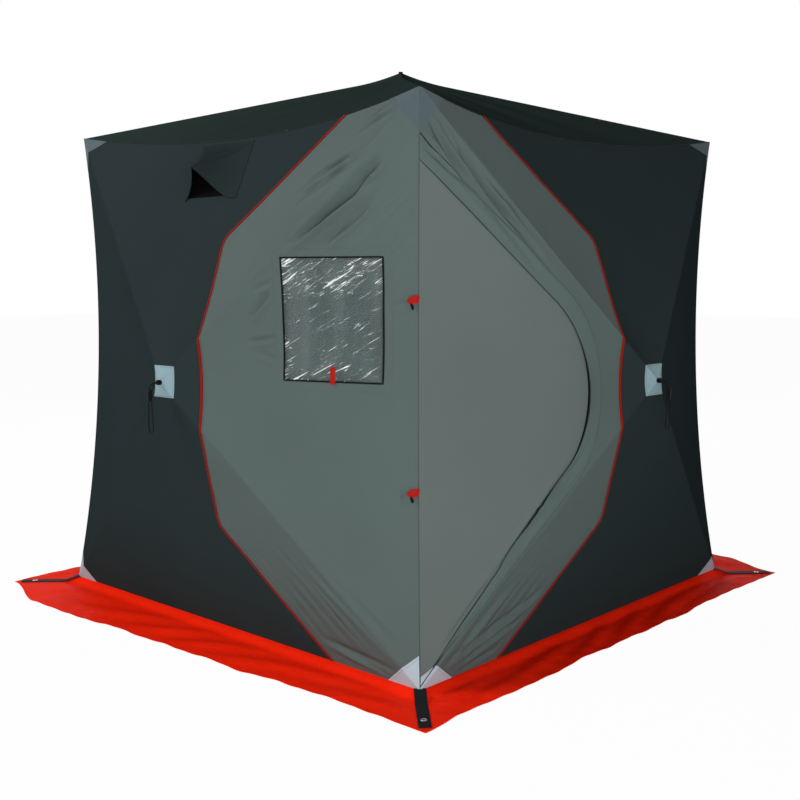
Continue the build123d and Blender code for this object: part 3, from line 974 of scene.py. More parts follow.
@dataclass(frozen=True)
class Wall:
    """One wall of the hut, with its folds; grey is the side of its grey corner panel."""

    name: str
    quarter: int
    grey: int
    folds: tuple[Fold, ...] = ()

    def windowed(self) -> bool:
        """Whether it is one of the two walls with a window and a vent."""
        return self.name in ("left", "right")

    def turn(self, points: Array) -> Array:
        """Points of the front wall turned to this wall."""
        cosine, sine = ((1, 0), (0, 1), (-1, 0), (0, -1))[self.quarter]
        x, y = points[..., 0], points[..., 1]
        return stacked(cosine * x - sine * y, sine * x + cosine * y, points[..., 2])

    def outwards(self) -> Array:
        """The direction that the wall faces."""
        return self.turn(np.array([0.0, -1.0, 0.0]))

    def relief(self, place: Array) -> Array:
        """Folds, and slow ripples from a product of sines, which fade out at the poles and at
        the edges.

        Args:
            place: places (u, z) in the last axis.

        Returns:
            How far the cloth stands off its taut shape.
        """
        u, z = place[..., 0], place[..., 1]
        lift = 0.0011 * np.sin(u * 17.0 + 3.0 * np.sin(z * 6.0)) * np.sin(z * 13.0 + 2.0 * u)
        for fold in self.folds:
            lift = lift + fold.lift(place)
        free = smooth(0.002, 0.03, SHAPE.ridge_gap(place))
        return lift * free * smooth(0.0, 0.03, SHAPE.rim_gap(place))

    def world(self, place: Array, lift: Number = 0.0) -> Array:
        """Points on the wall's outside, or lifted off it, in the hut's frame."""
        out = SHAPE.out(place) + self.relief(place) + lift
        return self.turn(np.stack([place[..., 0], -out, place[..., 1]], axis=-1))

    def mirrored(self, place: Array) -> Array:
        """Places laid out for a grey panel on the right, on this wall."""
        return place * np.array([self.grey, 1.0])

    def cover(self, surface: Surface, place: Array, lift: Number = 0.0) -> None:
        """Adds a grid of places, laid out for a grey panel on the right, to a surface."""
        own = self.mirrored(place)
        surface.add(self.world(own, lift), own, self.outwards())

    def strip(self, surface: Surface, path: Array, section: Array, closed: bool = False,
              lift: Number = 0.0) -> None:
        """Adds a raised strip along a path on the wall.

        Args:
            surface: where it goes.
            path: places along its middle, laid out for a grey panel on the right.
            section: its closed section, as amounts aside and off the wall.
            closed: whether the path comes back to its start.
            lift: how far off the wall the section's zero is.
        """
        own = self.mirrored(path)
        if closed:
            own = np.concatenate([own, own[:1]])
        ahead = np.gradient(own, axis=0)
        if closed:
            ahead[0] = ahead[-1] = own[1] - own[-2]
        ahead = unit(ahead)
        aside = np.stack([-ahead[:, 1], ahead[:, 0]], axis=1)
        place = own[:, None] + aside[:, None] * section[None, :, :1]
        rings = self.world(place, lift + section[None, :, 1])
        cloth = stacked(section[None, :, 0], lengths(own)[:, None])
        if not closed:
            rings, cloth = capped(rings), np.concatenate([cloth[:1], cloth, cloth[-1:]])
        surface.add(rings, cloth, wrap=True)

    def stitch(self, surface: Surface, path: Array, lift: float, pitch: float = 0.006) -> None:
        """Adds a row of thread stitches along a path on the wall.

        Each stitch is a small spindle: it goes in at both ends and stands proud between.

        Args:
            surface: where they go.
            path: places along the row, laid out for a grey panel on the right.
            lift: how far off the wall the cloth's face is.
            pitch: from one stitch to the next.
        """
        own = self.mirrored(path)
        middle = np.arange(pitch / 2, lengths(own)[-1], pitch)
        half = STITCH_SHARE * pitch
        start, centre, end = (self.world(places_at(own, middle + step), lift)
                              for step in (-half, 0.0, half))
        up = self.outwards()
        aside = unit(np.cross(end - start, up)) * THREAD
        up = up * THREAD
        ring = np.stack([centre + up, centre + aside, centre - up, centre - aside], axis=1)
        tips = [np.repeat(tip[:, None], 4, axis=1) for tip in (start, end)]
        surface.add(np.stack([tips[0], ring, tips[1]], axis=1), wrap=True)


def cover_all(walls: Sequence[Wall], place: Array, lift: Number) -> Surface:
    """The same grid of places on several walls."""
    surface = Surface()
    for wall in walls:
        wall.cover(surface, place, lift)
    return surface


@dataclass(frozen=True)
class PanelLine:
    """The line between a wall's dark and grey panels, from the eave over the pole ridges
    to the foot, with its corners rounded off."""

    at_eave: float = 0.510
    upper: Place = (0.086, 1.304)
    hub_edge: float = 0.144
    past_ridge: float = 0.010
    lower: Place = (0.124, 0.402)
    at_foot: float = 0.535
    long: int = 40
    short: int = 26
    middle: int = 12
    rounding: int = 5

    def ridge_crossing(self, end: Place, half: float, height: float) -> Place:
        """Where the line from the hub's level to a corner crosses a pole ridge, and a little
        further out along the ridge.

        Args:
            end: the corner that the line goes to.
            half: how far across the ridge's end is.
            height: how high the ridge's end is.

        Returns:
            The crossing.
        """
        slope = (height - SHAPE.hub_height) / half
        across, rise = end[0] - self.hub_edge, end[1] - SHAPE.hub_height
        share = slope * self.hub_edge / (rise - slope * across)
        return (self.hub_edge + across * share + self.past_ridge,
                SHAPE.hub_height + rise * share + self.past_ridge * slope)

    def points(self) -> dict[str, Place]:
        """The corners of the wall's panels by name."""
        return {
            "ridge_up": self.ridge_crossing(self.upper, SHAPE.half_eave, SHAPE.corner_height),
            "ridge_low": self.ridge_crossing(self.lower, SHAPE.half_base, SHAPE.foot),
            "upper": self.upper,
            "middle": (self.hub_edge, SHAPE.hub_height),
            "lower": self.lower,
            "eave": (self.at_eave, SHAPE.eave(self.at_eave)),
            "base": (self.at_foot, SHAPE.foot),
            "corner": (SHAPE.half_eave, SHAPE.corner_height),
            "foot": (SHAPE.half_base, SHAPE.foot),
            "far_corner": (-SHAPE.half_eave, SHAPE.corner_height),
            "far_foot": (-SHAPE.half_base, SHAPE.foot),
            "mid_eave": (0.0, SHAPE.corner_height - SHAPE.eave_bow),
            "mid_base": (0.0, SHAPE.foot),
        }

    def path(self) -> Array:
        """Places along the line: straight runs, averaged with their neighbours a few times
        and put back at the ridges."""
        at = self.points()
        names = ("eave", "upper", "ridge_up", "middle", "ridge_low", "lower", "base")
        cells = (self.long, self.short, self.middle, self.middle, self.short, self.long)
        path = through([at[name] for name in names], cells)
        held = np.cumsum(cells)[[1, 3]]
        fixed = path[held]
        for _ in range(self.rounding):
            path[1:-1] = (path[:-2] + 2 * path[1:-1] + path[2:]) / 4
            path[held] = fixed
        return path

    def upper_run(self) -> Array:
        """From the upper ridge to the eave."""
        return self.path()[:self.long + self.short + 1][::-1]

    def side_run(self) -> Array:
        """From the upper to the lower ridge."""
        start = self.long + self.short
        return self.path()[start:start + 2 * self.middle + 1]

    def lower_run(self) -> Array:
        """From the lower ridge to the foot."""
        return self.path()[-(self.long + self.short + 1):]


LINE = PanelLine()
AT = LINE.points()


@dataclass(frozen=True)
class DoorShape:
    """The door's outline: straight at its hinge, a rounded point towards the hub."""

    hinge: float = 0.800
    top: float = 1.490
    bottom: float = 0.120
    tip: float = 0.103
    tip_height: float = 0.867
    radius: float = 0.368
    zip_gap: float = 0.006
    lowest: float = 0.026
    cells: tuple[int, int, int] = (60, 44, 60)

    def edge(self, grow: float = 0.0) -> Array:
        """The zipped edge from the top to the bottom of the corner seam.

        Two straight runs are tangent to an arc; growing the outline moves the runs out
        along their normals and widens the arc. The runs' ends on the bowed seam are found
        by going back and forth between the two a few times.

        Args:
            grow: how far outside the door the edge is.

        Returns:
            Places for a grey panel on the right.
        """
        tip = np.array([self.tip, self.tip_height])
        first = unit(tip - np.array([self.hinge, self.top]))
        second = unit(np.array([self.hinge, self.bottom]) - tip)
        normals = [np.array([way[1], -way[0]]) for way in (first, second)]
        tangent = self.radius * math.tan(math.acos(float(first @ second)) / 2)
        centre = tip - first * tangent - normals[0] * self.radius
        start, end = (math.atan2(n[1], n[0]) for n in normals)
        angle = np.linspace(start, end + 2 * math.pi * (end < start), self.cells[1] + 1)
        arc = centre + (self.radius + grow) * np.stack([np.cos(angle), np.sin(angle)], axis=1)
        ends = []
        for joint, way in ((arc[0], -first), (arc[-1], second)):
            end = joint
            for _ in range(6):
                end = joint + way * ((SHAPE.seam(end[1]) - joint[0]) / way[0])
            if end[1] < self.lowest:
                end = np.array([SHAPE.seam(self.lowest), self.lowest])
            ends.append(end)
        return chain(line(ends[0], arc[0], self.cells[0]), arc, line(arc[-1], ends[1], self.cells[2]))


DOOR = DoorShape()


@dataclass(frozen=True)
class WindowShape:
    """The window's opening, in a grey panel on the right."""

    inner: float = 0.414
    outer: float = 0.716
    sill: float = 0.878
    head: float = 1.240

    def loop(self, cells: Union[int, Sequence[int]], away: float = 0.0) -> Array:
        """The opening's edge or a rectangle outside it, from the upper inner corner round the
        outer side and back, with so many cells on each side."""
        left, right = self.inner - away, self.outer + away
        low, high = self.sill - away, self.head + away
        return through(((left, high), (right, high), (right, low), (left, low), (left, high)), cells)


WINDOW = WindowShape()


@dataclass(frozen=True)
class VentShape:
    """A vent hood's feet, head and prop, and the hole that it covers."""

    centre: float = -0.054
    width: float = 0.262
    foot: float = 1.436
    head: float = 1.625
    prop_height: float = 1.536
    prop: float = 0.120
    hole_width: float = 0.130
    hole_height: float = 0.060

    def hole(self, cells: Sequence[int]) -> Array:
        """The hole's edge from its upper far corner, in five runs."""
        left, right = (self.centre + side * self.hole_width / 2 for side in (-1, 1))
        low, high = ((self.foot + self.head + side * self.hole_height) / 2 for side in (-1, 1))
        return through(((left, high), (right, high), (right, low), (self.centre, low), (left, low),
                        (left, high)), cells)


VENT = VentShape()


@dataclass
class WallPanels:
    """A wall's dark and grey panels, sewn together under the piping."""

    wall: Wall
    finishes: Finishes
    dark_flat: Place = (1.47, 1.78)
    grey_flat: Place = (0.80, 1.78)
    core: int = 10
    reach: int = 50
    near_window: int = 19
    across: int = 30
    beside_door: int = 44
    half: int = 40
    far_seam: int = 80
    near_seam: int = 130
    over_vent: int = 60
    round_vent: int = 30
    band: int = 32

    def rays(self) -> Array:
        """Shares along the rays from the hub, as many as the panel line's long runs have."""
        return np.linspace(0, 1, LINE.long + LINE.short + 1)

    def ray(self, end: Place) -> Array:
        """Places from the hub to an end, spaced as the rays are."""
        return np.array(HUB) + (np.array(end) - np.array(HUB)) * self.rays()[:, None]

    def dark(self) -> bpy.types.Object:
        """The dark panel, with the vent's hole where the wall has one."""
        rays = self.rays()
        far = SHAPE.seam_run(SHAPE.corner_height, SHAPE.foot, self.far_seam) * np.array([-1.0, 1.0])
        grids = [fan(HUB, LINE.side_run(), self.core), fan(HUB, far, rays),
                 fan(HUB, line(AT["far_foot"], AT["mid_base"], self.half), rays),
                 ruled(self.ray(AT["mid_base"]), LINE.lower_run(), self.core)]
        if self.wall.windowed():
            grids.append(self.vented_top())
        else:
            grids.append(fan(HUB, SHAPE.eave_run(-SHAPE.half_eave, 0.0, self.half), rays))
            top = ruled(self.ray(AT["mid_eave"]), LINE.upper_run(), self.core)
            top[..., 1] += (SHAPE.eave(top[-1, :, 0]) - top[-1, :, 1]) * rays[:, None] ** 8
            grids.append(top)
        return self.sewn(grids, "dark", Slot.DARK, self.dark_flat)

    def vented_top(self) -> Array:
        """The top facet as a band from the vent's hole to the facet's edge."""
        cells = (self.over_vent, LINE.long, LINE.short, self.core, len(self.rays()) - 1)
        rim = chain(SHAPE.eave_run(-SHAPE.half_eave, LINE.at_eave, self.over_vent),
                    LINE.upper_run()[::-1], line(AT["ridge_up"], HUB, self.core),
                    self.ray(AT["far_corner"]))
        return ruled(VENT.hole(cells), rim, self.round_vent)

    def grey(self) -> bpy.types.Object:
        """The grey corner panel, with the opening that its wall has; a wall with folds gets a
        finer grid."""
        ridge_up = line(AT["ridge_up"], AT["corner"], self.reach)
        ridge_low = line(AT["ridge_low"], AT["foot"], self.reach)
        upright = LINE.side_run()
        seam = SHAPE.seam_run(SHAPE.corner_height, SHAPE.foot, self.near_seam)
        ends = len(self.rays()) - 1 - self.reach
        over = chain(ridge_up, SHAPE.eave_run(SHAPE.half_eave, LINE.at_eave, ends))
        under = chain(ridge_low, line(AT["foot"], AT["base"], ends))
        grids = [ruled(LINE.upper_run(), over, self.band), ruled(LINE.lower_run(), under, self.band)]
        fine = 2 if self.wall.folds else 1
        if self.wall.windowed():
            near = self.near_window
            rim = chain(ridge_up[near:], seam, ridge_low[::-1], upright[::-1], ridge_up[:near + 1])
            sides = (self.reach - near, self.near_seam, self.reach, len(upright) - 1 + near)
            grids.append(ruled(WINDOW.loop(sides), rim, self.across * fine))
        elif self.wall.name == "front":
            grids.append(self.round_door(ridge_up, upright, ridge_low))
        else:
            spaced = self.spread(chain(ridge_up[::-1], upright, ridge_low), self.near_seam)
            grids.append(ruled(spaced, seam, self.reach))
        grids = [self.finer(grid, fine) for grid in grids]
        return self.sewn(grids, "grey", Slot.GREY, self.grey_flat)

    def round_door(self, ridge_up: Array, upright: Array, ridge_low: Array) -> Array:
        """The side facet as a band from the door's opening to the ridges and the seam.

        Args:
            ridge_up: places along the upper ridge, from the panel line out.
            upright: places along the panel line between the ridges.
            ridge_low: places along the lower ridge, from the panel line out.

        Returns:
            The facet's grid.
        """
        edge = DOOR.edge(DOOR.zip_gap)
        stops = np.cumsum((0,) + DOOR.cells)
        counts = (self.reach, len(upright) - 1, self.reach)
        inner = [self.spread(edge[a:b + 1], n) for a, b, n in zip(stops, stops[1:], counts)]
        grid = ruled(chain(*inner), chain(ridge_up[::-1], upright, ridge_low), self.beside_door)
        grid[0] = SHAPE.seam_run(edge[0, 1], SHAPE.corner_height, self.beside_door)
        grid[-1] = SHAPE.seam_run(edge[-1, 1], SHAPE.foot, self.beside_door)
        return grid

    @staticmethod
    def finer(grid: Array, times: int) -> Array:
        """A grid with each cell cut into so many along its first direction."""
        share = np.linspace(0, 1, times, endpoint=False)[None, :, None, None]
        cut = grid[:-1, None] * (1 - share) + grid[1:, None] * share
        return np.concatenate([cut.reshape(-1, *grid.shape[1:]), grid[-1:]])

    @staticmethod
    def spread(run: Array, cells: int) -> Array:
        """A run of places spaced evenly again with another number of cells."""
        return places_at(run, np.linspace(0, lengths(run)[-1], cells + 1))

    def sewn(self, grids: Sequence[Array], tone: str, slot: Slot, flat: Place) -> bpy.types.Object:
        """Makes a panel, a lined sheet of cloth.

        Args:
            grids: places on its outer face, laid out for a grey panel on the right.
            tone: its finish, which is in its name too.
            slot: its material slot.
            flat: the width and length that it is cut from.

        Returns:
            The piece.
        """
        surface = Surface()
        for grid in grids:
            self.wall.cover(surface, grid)
        cut = Cut(flat, f"{self.wall.name}_wall_poles", thickness=WALL_CLOTH)
        piece = self.finishes.sheet(surface, f"{self.wall.name}_{tone}_cloth", cut, tone, "lining")
        return settle(piece, slot, replaced=[f"{self.wall.name}_wall_{tone}_panel"])


@dataclass
class DoorLeaf:
    """The zipped door in the front wall: its cloth, storm flap and zip."""

    wall: Wall
    finishes: Finishes
    cloth_cut: Cut = Cut((0.72, 1.42), "front_wall_poles", thickness=WALL_CLOTH)
    flap_cut: Cut = Cut((0.056, 2.05), "front_grey_cloth")
    lap: float = 0.005
    cover: float = 0.044
    bend_start: Point = (-0.815, -0.87, 0.8)
    bend_end: Point = (-0.765, -0.87, 0.8)
    cells: int = 64
    flap_cells: int = 11
    round: int = 8
    hem_half: Place = (0.0012, 0.0010)
    fold_half: Place = (0.0013, 0.0009)
    fold_lift: float = 0.0021
    stitch_rows: tuple[float, float] = (0.82, 0.92)
    stitch_lift: float = 0.0034
    zip_half: Place = (0.0017, 0.0012)
    zip_rows: tuple[float, float] = (0.0012, 0.0048)
    sunk: float = 0.0008

    def hinged(self, piece: bpy.types.Object) -> None:
        """Bakes a piece's placement into its mesh."""
        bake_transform(piece)

    def cloth(self) -> None:
        """The door's cloth, which is ruled from the corner seam to the zipped edge."""
        edge = DOOR.edge()
        run = SHAPE.seam_run(edge[0, 1], edge[-1, 1], len(edge) - 1)
        surface = Surface()
        self.wall.cover(surface, ruled(run, edge, self.cells))
        piece = self.finishes.sheet(surface, "door_cloth", self.cloth_cut, "door", "lining")
        self.hinged(settle(piece, Slot.GREY, None, ["door_panel"]))

    def run(self) -> Array:
        """Shares along the flap from its upper to its lower end, one to a row."""
        return np.linspace(0, 1, sum(DOOR.cells) + 1)[:, None]

    def flap_line(self, share: float) -> Array:
        """Places along the flap, so far across it from its free to its sewn edge; it tapers to
        its lower end."""
        free, sewn = DOOR.edge(-self.lap), DOOR.edge(self.cover)
        return free + (sewn - free) * (1 - 0.94 * smooth(0.84, 1.0, self.run())) * share

    def flap_lift(self, share: Array) -> Array:
        """How far the storm flap stands off.

        It does so most at its free edge, by a bell near the door's tip, and lower down it is
        loose and pleated, by sines along and across it.

        Args:
            share: shares across the flap, from its free to its sewn edge, in one row.

        Returns:
            The amounts off the wall, a row for each place along the flap.
        """
        run = self.run()
        gaping = np.exp(-(((run - 0.53) / 0.09) ** 2))
        loose = 0.0030 * np.sin(run * 46.0 + 2.0 * share)
        pleat = 0.0055 * np.sin(math.pi * (2.4 * share + 5.0 * run)) ** 2 * np.sin(math.pi * share)
        low = smooth(0.56, 0.66, run)
        sewn = smooth(0.0, 0.05, run) * smooth(0.975, 0.90, run)
        free = (0.0028 + 0.009 * gaping + low * loose) * (1 - share) ** 1.4
        return 0.0004 + sewn * (0.0026 + low * pleat + free)

    def flap(self) -> None:
        """The storm flap over the zip: the door's edge carried from its lap to its cover."""
        shares = np.linspace(0, 1, self.flap_cells + 1)
        surface = Surface()
        self.wall.cover(surface, ruled(self.flap_line(0.0), self.flap_line(1.0), shares),
                        self.flap_lift(shares[None]))
        piece = self.finishes.sheet(surface, "storm_flap", self.flap_cut, "flap")
        self.hinged(settle(piece, Slot.GREY, None, ["door_storm_flap"]))

    def trim(self) -> None:
        """The flap's dark hem, which is partly a painted shadow line under its free edge, its two rows
        of stitches and its fold, and the zip's two halves.
        """
        hem_and_shadow, seam, fold = (Surface() for _ in range(3))
        self.wall.strip(hem_and_shadow, self.flap_line(0.0), oval(self.hem_half, self.round),
                        lift=self.flap_lift(np.zeros((1, 1))) - self.sunk)
        for share in self.stitch_rows:
            self.wall.stitch(seam, self.flap_line(share), self.stitch_lift)
        self.wall.strip(fold, self.flap_line(1.0), oval(self.fold_half, self.round),
                        lift=self.fold_lift)
        make = self.finishes.make
        self.hinged(make(hem_and_shadow, "storm_flap_hem_and_shadow", "hem_and_shadow", Slot.WEBBING, None))
        self.hinged(make(seam, "storm_flap_seam", "thread", Slot.GREY, None))
        self.hinged(make(fold, "storm_flap_fold", "dark_thread", Slot.GREY, None))
        halves = [Surface() for _ in range(2)]
        for half, grow in zip(halves, self.zip_rows):
            self.wall.strip(half, DOOR.edge(grow), oval(self.zip_half, self.round), lift=-self.sunk)
        self.hinged(make(halves[0], "zip_on_door", "zip", Slot.PLASTIC, None))
        make(halves[1], "zip_on_wall", "zip", Slot.PLASTIC)

    def build(self) -> None:
        """Makes the door."""
        self.cloth()
        self.flap()
        self.trim()


CRUMPLES = ((0.62, 62.0, 0.0020, 9.0), (0.50, 101.0, 0.0010, 14.0),
            (0.95, 37.0, 0.0022, 7.0), (-0.30, 49.0, 0.0010, 11.0))


@dataclass
class Windows:
    """Clear windows with blinds behind them, bound in black, and their red pull tabs."""

    walls: tuple[Wall, ...]
    finishes: Finishes
    pane_cut: Cut = Cut((0.70, 0.44), "left_grey_cloth", most=0.307, thickness=0.0006)
    blind_cut: Cut = Cut((0.76, 0.46), "left_grey_cloth", "hung", 0.349, 0.0012)
    lap: float = 0.014
    blind_lap: float = 0.024
    pane_in: float = 0.006
    blind_in: float = 0.018
    binding_half: Place = (0.0024, 0.0016)
    binding_lift: float = 0.0006
    stitch_away: float = 0.026
    stitch_pitch: float = 0.0055
    tab_aside: float = 0.002
    tab_ends: Place = (-0.008, 0.044)
    tab_half: Place = (0.0075, 0.0011)
    tab_lift: float = 0.0036

    def over(self, across: int, up: int, lap: float) -> Array:
        """A grid of places over the opening and a lap round it."""
        return crossed(np.linspace(WINDOW.inner - lap, WINDOW.outer + lap, across + 1),
                       np.linspace(WINDOW.sill - lap, WINDOW.head + lap, up + 1))

    def slack(self, place: Array) -> Array:
        """0 at the pane's sewn edge and 1 well inside it."""
        u, z = place[..., 0], place[..., 1]
        aside = np.minimum(u - WINDOW.inner, WINDOW.outer - u)
        return smooth(-0.004, 0.05, np.minimum(aside, np.minimum(z - WINDOW.sill, WINDOW.head - z)))

    def crumple(self, place: Array) -> Array:
        """Sharp shallow folds along the pane's slant, from its upper outer to its lower inner
        corner.

        Each set is a folded sine of the distance across a slant, bent and faded by slower
        sines of the distance along it.

        Args:
            place: places (u, z) in the last axis.

        Returns:
            How far the pane is lifted there.
        """
        u, z = place[..., 0], place[..., 1]
        lift = np.zeros_like(u)
        for slant, turns, size, bend in CRUMPLES:
            away = z * math.cos(slant) - u * math.sin(slant)
            along = z * math.sin(slant) + u * math.cos(slant)
            wave = np.abs(np.sin(away * turns + 0.9 * np.sin(along * bend) + 3.0 * slant))
            lift = lift + size * (1 - wave) * (0.55 + 0.45 * np.sin(along * bend * 1.7 + 5 * slant))
        return lift

    def hang(self, place: Array) -> Array:
        """The blind's shallow waves, a sine, with two deep upright furrows, which are bells."""
        u, z = place[..., 0], place[..., 1]
        waves = 0.003 * np.sin(u * 38.0 + z * 12.0 + np.sin(z * 17.0))
        slanted = 0.012 * np.exp(-(((u - 0.50 - 0.14 * (1.24 - z)) / 0.020) ** 2))
        return waves - slanted - 0.010 * np.exp(-(((u - 0.702) / 0.010) ** 2))

    def build(self) -> None:
        """Makes the panes, blinds, bindings, stitching and tabs of all the windows."""
        edge, thread, tab = (Surface() for _ in range(3))
        loop = WINDOW.loop((30, 34, 30, 34))[:-1]
        clear, cloth = self.over(66, 74, self.lap), self.over(44, 48, self.blind_lap)
        tab_at = (WINDOW.inner + WINDOW.outer) / 2 + self.tab_aside
        tab_run = line(*[(tab_at, WINDOW.sill + end) for end in self.tab_ends], 12)
        pane = cover_all(self.walls, clear, self.crumple(clear) * self.slack(clear) - self.pane_in)
        blind = cover_all(self.walls, cloth, self.hang(cloth) * self.slack(cloth) - self.blind_in)
        binding = oval(self.binding_half, 10, 0.6)
        for wall in self.walls:
            wall.strip(edge, loop, binding, closed=True, lift=self.binding_lift)
            wall.stitch(thread, WINDOW.loop(40, self.stitch_away), ON_CLOTH, self.stitch_pitch)
            wall.strip(tab, tab_run, oval(self.tab_half, 12, 0.5), lift=self.tab_lift)
        finishes = self.finishes
        settle(finishes.sheet(pane, "window_vinyl", self.pane_cut, "vinyl"), Slot.VINYL,
               replaced=["window_panes"])
        settle(finishes.sheet(blind, "window_blind", self.blind_cut, "blind"), Slot.GREY,
               replaced=["window_blinds"])
        finishes.make(edge, "window_binding", "binding", Slot.WEBBING)
        finishes.make(thread, "window_stitching", "thread", Slot.GREY)
        finishes.make(tab, "window_tab", "red_tape", Slot.TAPE, replaced=["window_pull_tabs"])


@dataclass
class VentHoods:
    """Propped cloth hoods over the vents' holes, with painted shade inside: a near-black lining and a
    near-black sheet behind them.
    """

    walls: tuple[Wall, ...]
    finishes: Finishes
    hood_cut: Cut = Cut((0.54, 0.36), "left_dark_cloth", "hung", 0.194)
    shade_sheet_cut: Cut = Cut((0.36, 0.26), "left_dark_cloth", most=0.0936, thickness=0.0006)
    margin: float = 0.010
    shade_share: float = 0.94
    hang: float = 0.032
    fold: float = 0.014
    hood_lift: float = 0.002
    shade_sheet_lift: float = 0.0022

    def hood(self) -> None:
        """A fan of cloth from the propped point to the sewn edge: it falls by a power of the way
        out that grows round the rim, rises again in folds, which are the upper halves of a cubed
        sine, and hangs down at the slack side."""
        left, right = (VENT.centre + side * VENT.width / 2 for side in (-1, 1))
        rim = through(((left, VENT.foot), (left, VENT.head), (right, VENT.head), (right, VENT.foot)),
                      (26, 34, 26))
        share = np.linspace(0, 1, 19)
        place = fan((VENT.centre, VENT.prop_height), rim, share)
        turn = np.linspace(0, 1, len(rim))[:, None]
        belly = np.sin(math.pi * share[None])
        place[..., 1] -= self.hang * belly * turn ** 6
        fold = self.fold * belly ** 2 * np.sin(turn * 5 * math.pi) ** 3
        propped = VENT.prop * (1 - share[None]) ** (1.3 + 1.3 * turn)
        lift = propped + np.maximum(fold, 0.0) + self.hood_lift
        surface = cover_all(self.walls, place, lift)
        # its inner side is near black: partly the hood's lining, partly painted shade
        piece = self.finishes.sheet(surface, "vent_hood_cloth", self.hood_cut, "hood", "hood_lining_and_shade")
        settle(piece, Slot.DARK, replaced=["vent_hoods"])

    def shade_sheet(self) -> None:
        """A near-black sheet behind each hood, over the vent's hole and the wall beside it: painted
        shade for the hood's dark mouth.
        """
        u = np.linspace(self.margin, VENT.width * self.shade_share, 25) + VENT.centre - VENT.width / 2
        place = crossed(u, np.linspace(VENT.foot + self.margin, VENT.head - self.margin, 19))
        surface = cover_all(self.walls, place, self.shade_sheet_lift)
        settle(self.finishes.sheet(surface, "vent_painted_shade", self.shade_sheet_cut, "hood_lining_and_shade"), Slot.DARK)

    def build(self) -> None:
        """Makes the hoods and the painted shade behind them."""
        self.hood()
        self.shade_sheet()


@dataclass(frozen=True)
class Patch:
    """A kind of sewn-on patch that fans out from a point of each wall.

    Its outline is laid out for a grey panel on the right, and plain is the outline on the
    walls without windows where that differs.
    """

    name: str
    node: str
    finish: str
    flat: tuple[float, float]
    centre: Place
    sides: tuple[float, ...]
    cells: int
    outline: tuple[Place, ...]
    plain: tuple[Place, ...] = ()


BOTH = (1.0, -1.0)
HUB_HALF = 0.051
PATCHES = (
    Patch("hub_patch_cloth", "hub_patches", "silver", (0.21, 0.21), HUB, (1.0,), 16, tuple(
        SHAPE.on_ridge(side * HUB_HALF, upper)
        for side, upper in ((1, True), (1, False), (-1, False), (-1, True), (1, True)))),
    # the top patches use the darker copy of the silver cloth (painted shade), the foot patches the
    # lighter one (painted light)
    Patch("top_patch_cloth", "top_corner_patches", "silver_painted_shade", (0.34, 0.36), AT["corner"], BOTH, 12,
          ((SHAPE.seam(1.584) + 0.0012, 1.584), SHAPE.on_ridge(0.784, True),
           (0.715, SHAPE.eave(0.715) - 0.001))),
    Patch("foot_patch_cloth", "foot_corner_patches", "silver_painted_light", (0.26, 0.26), AT["foot"], BOTH, 12,
          ((SHAPE.seam(0.116) - 0.001, 0.116), SHAPE.on_ridge(0.8326, False), (0.768, SHAPE.foot)),
          ((SHAPE.seam(0.058) - 0.001, 0.058), (0.837, 0.084), SHAPE.on_ridge(0.8293, False),
           (0.752, SHAPE.foot))),
)


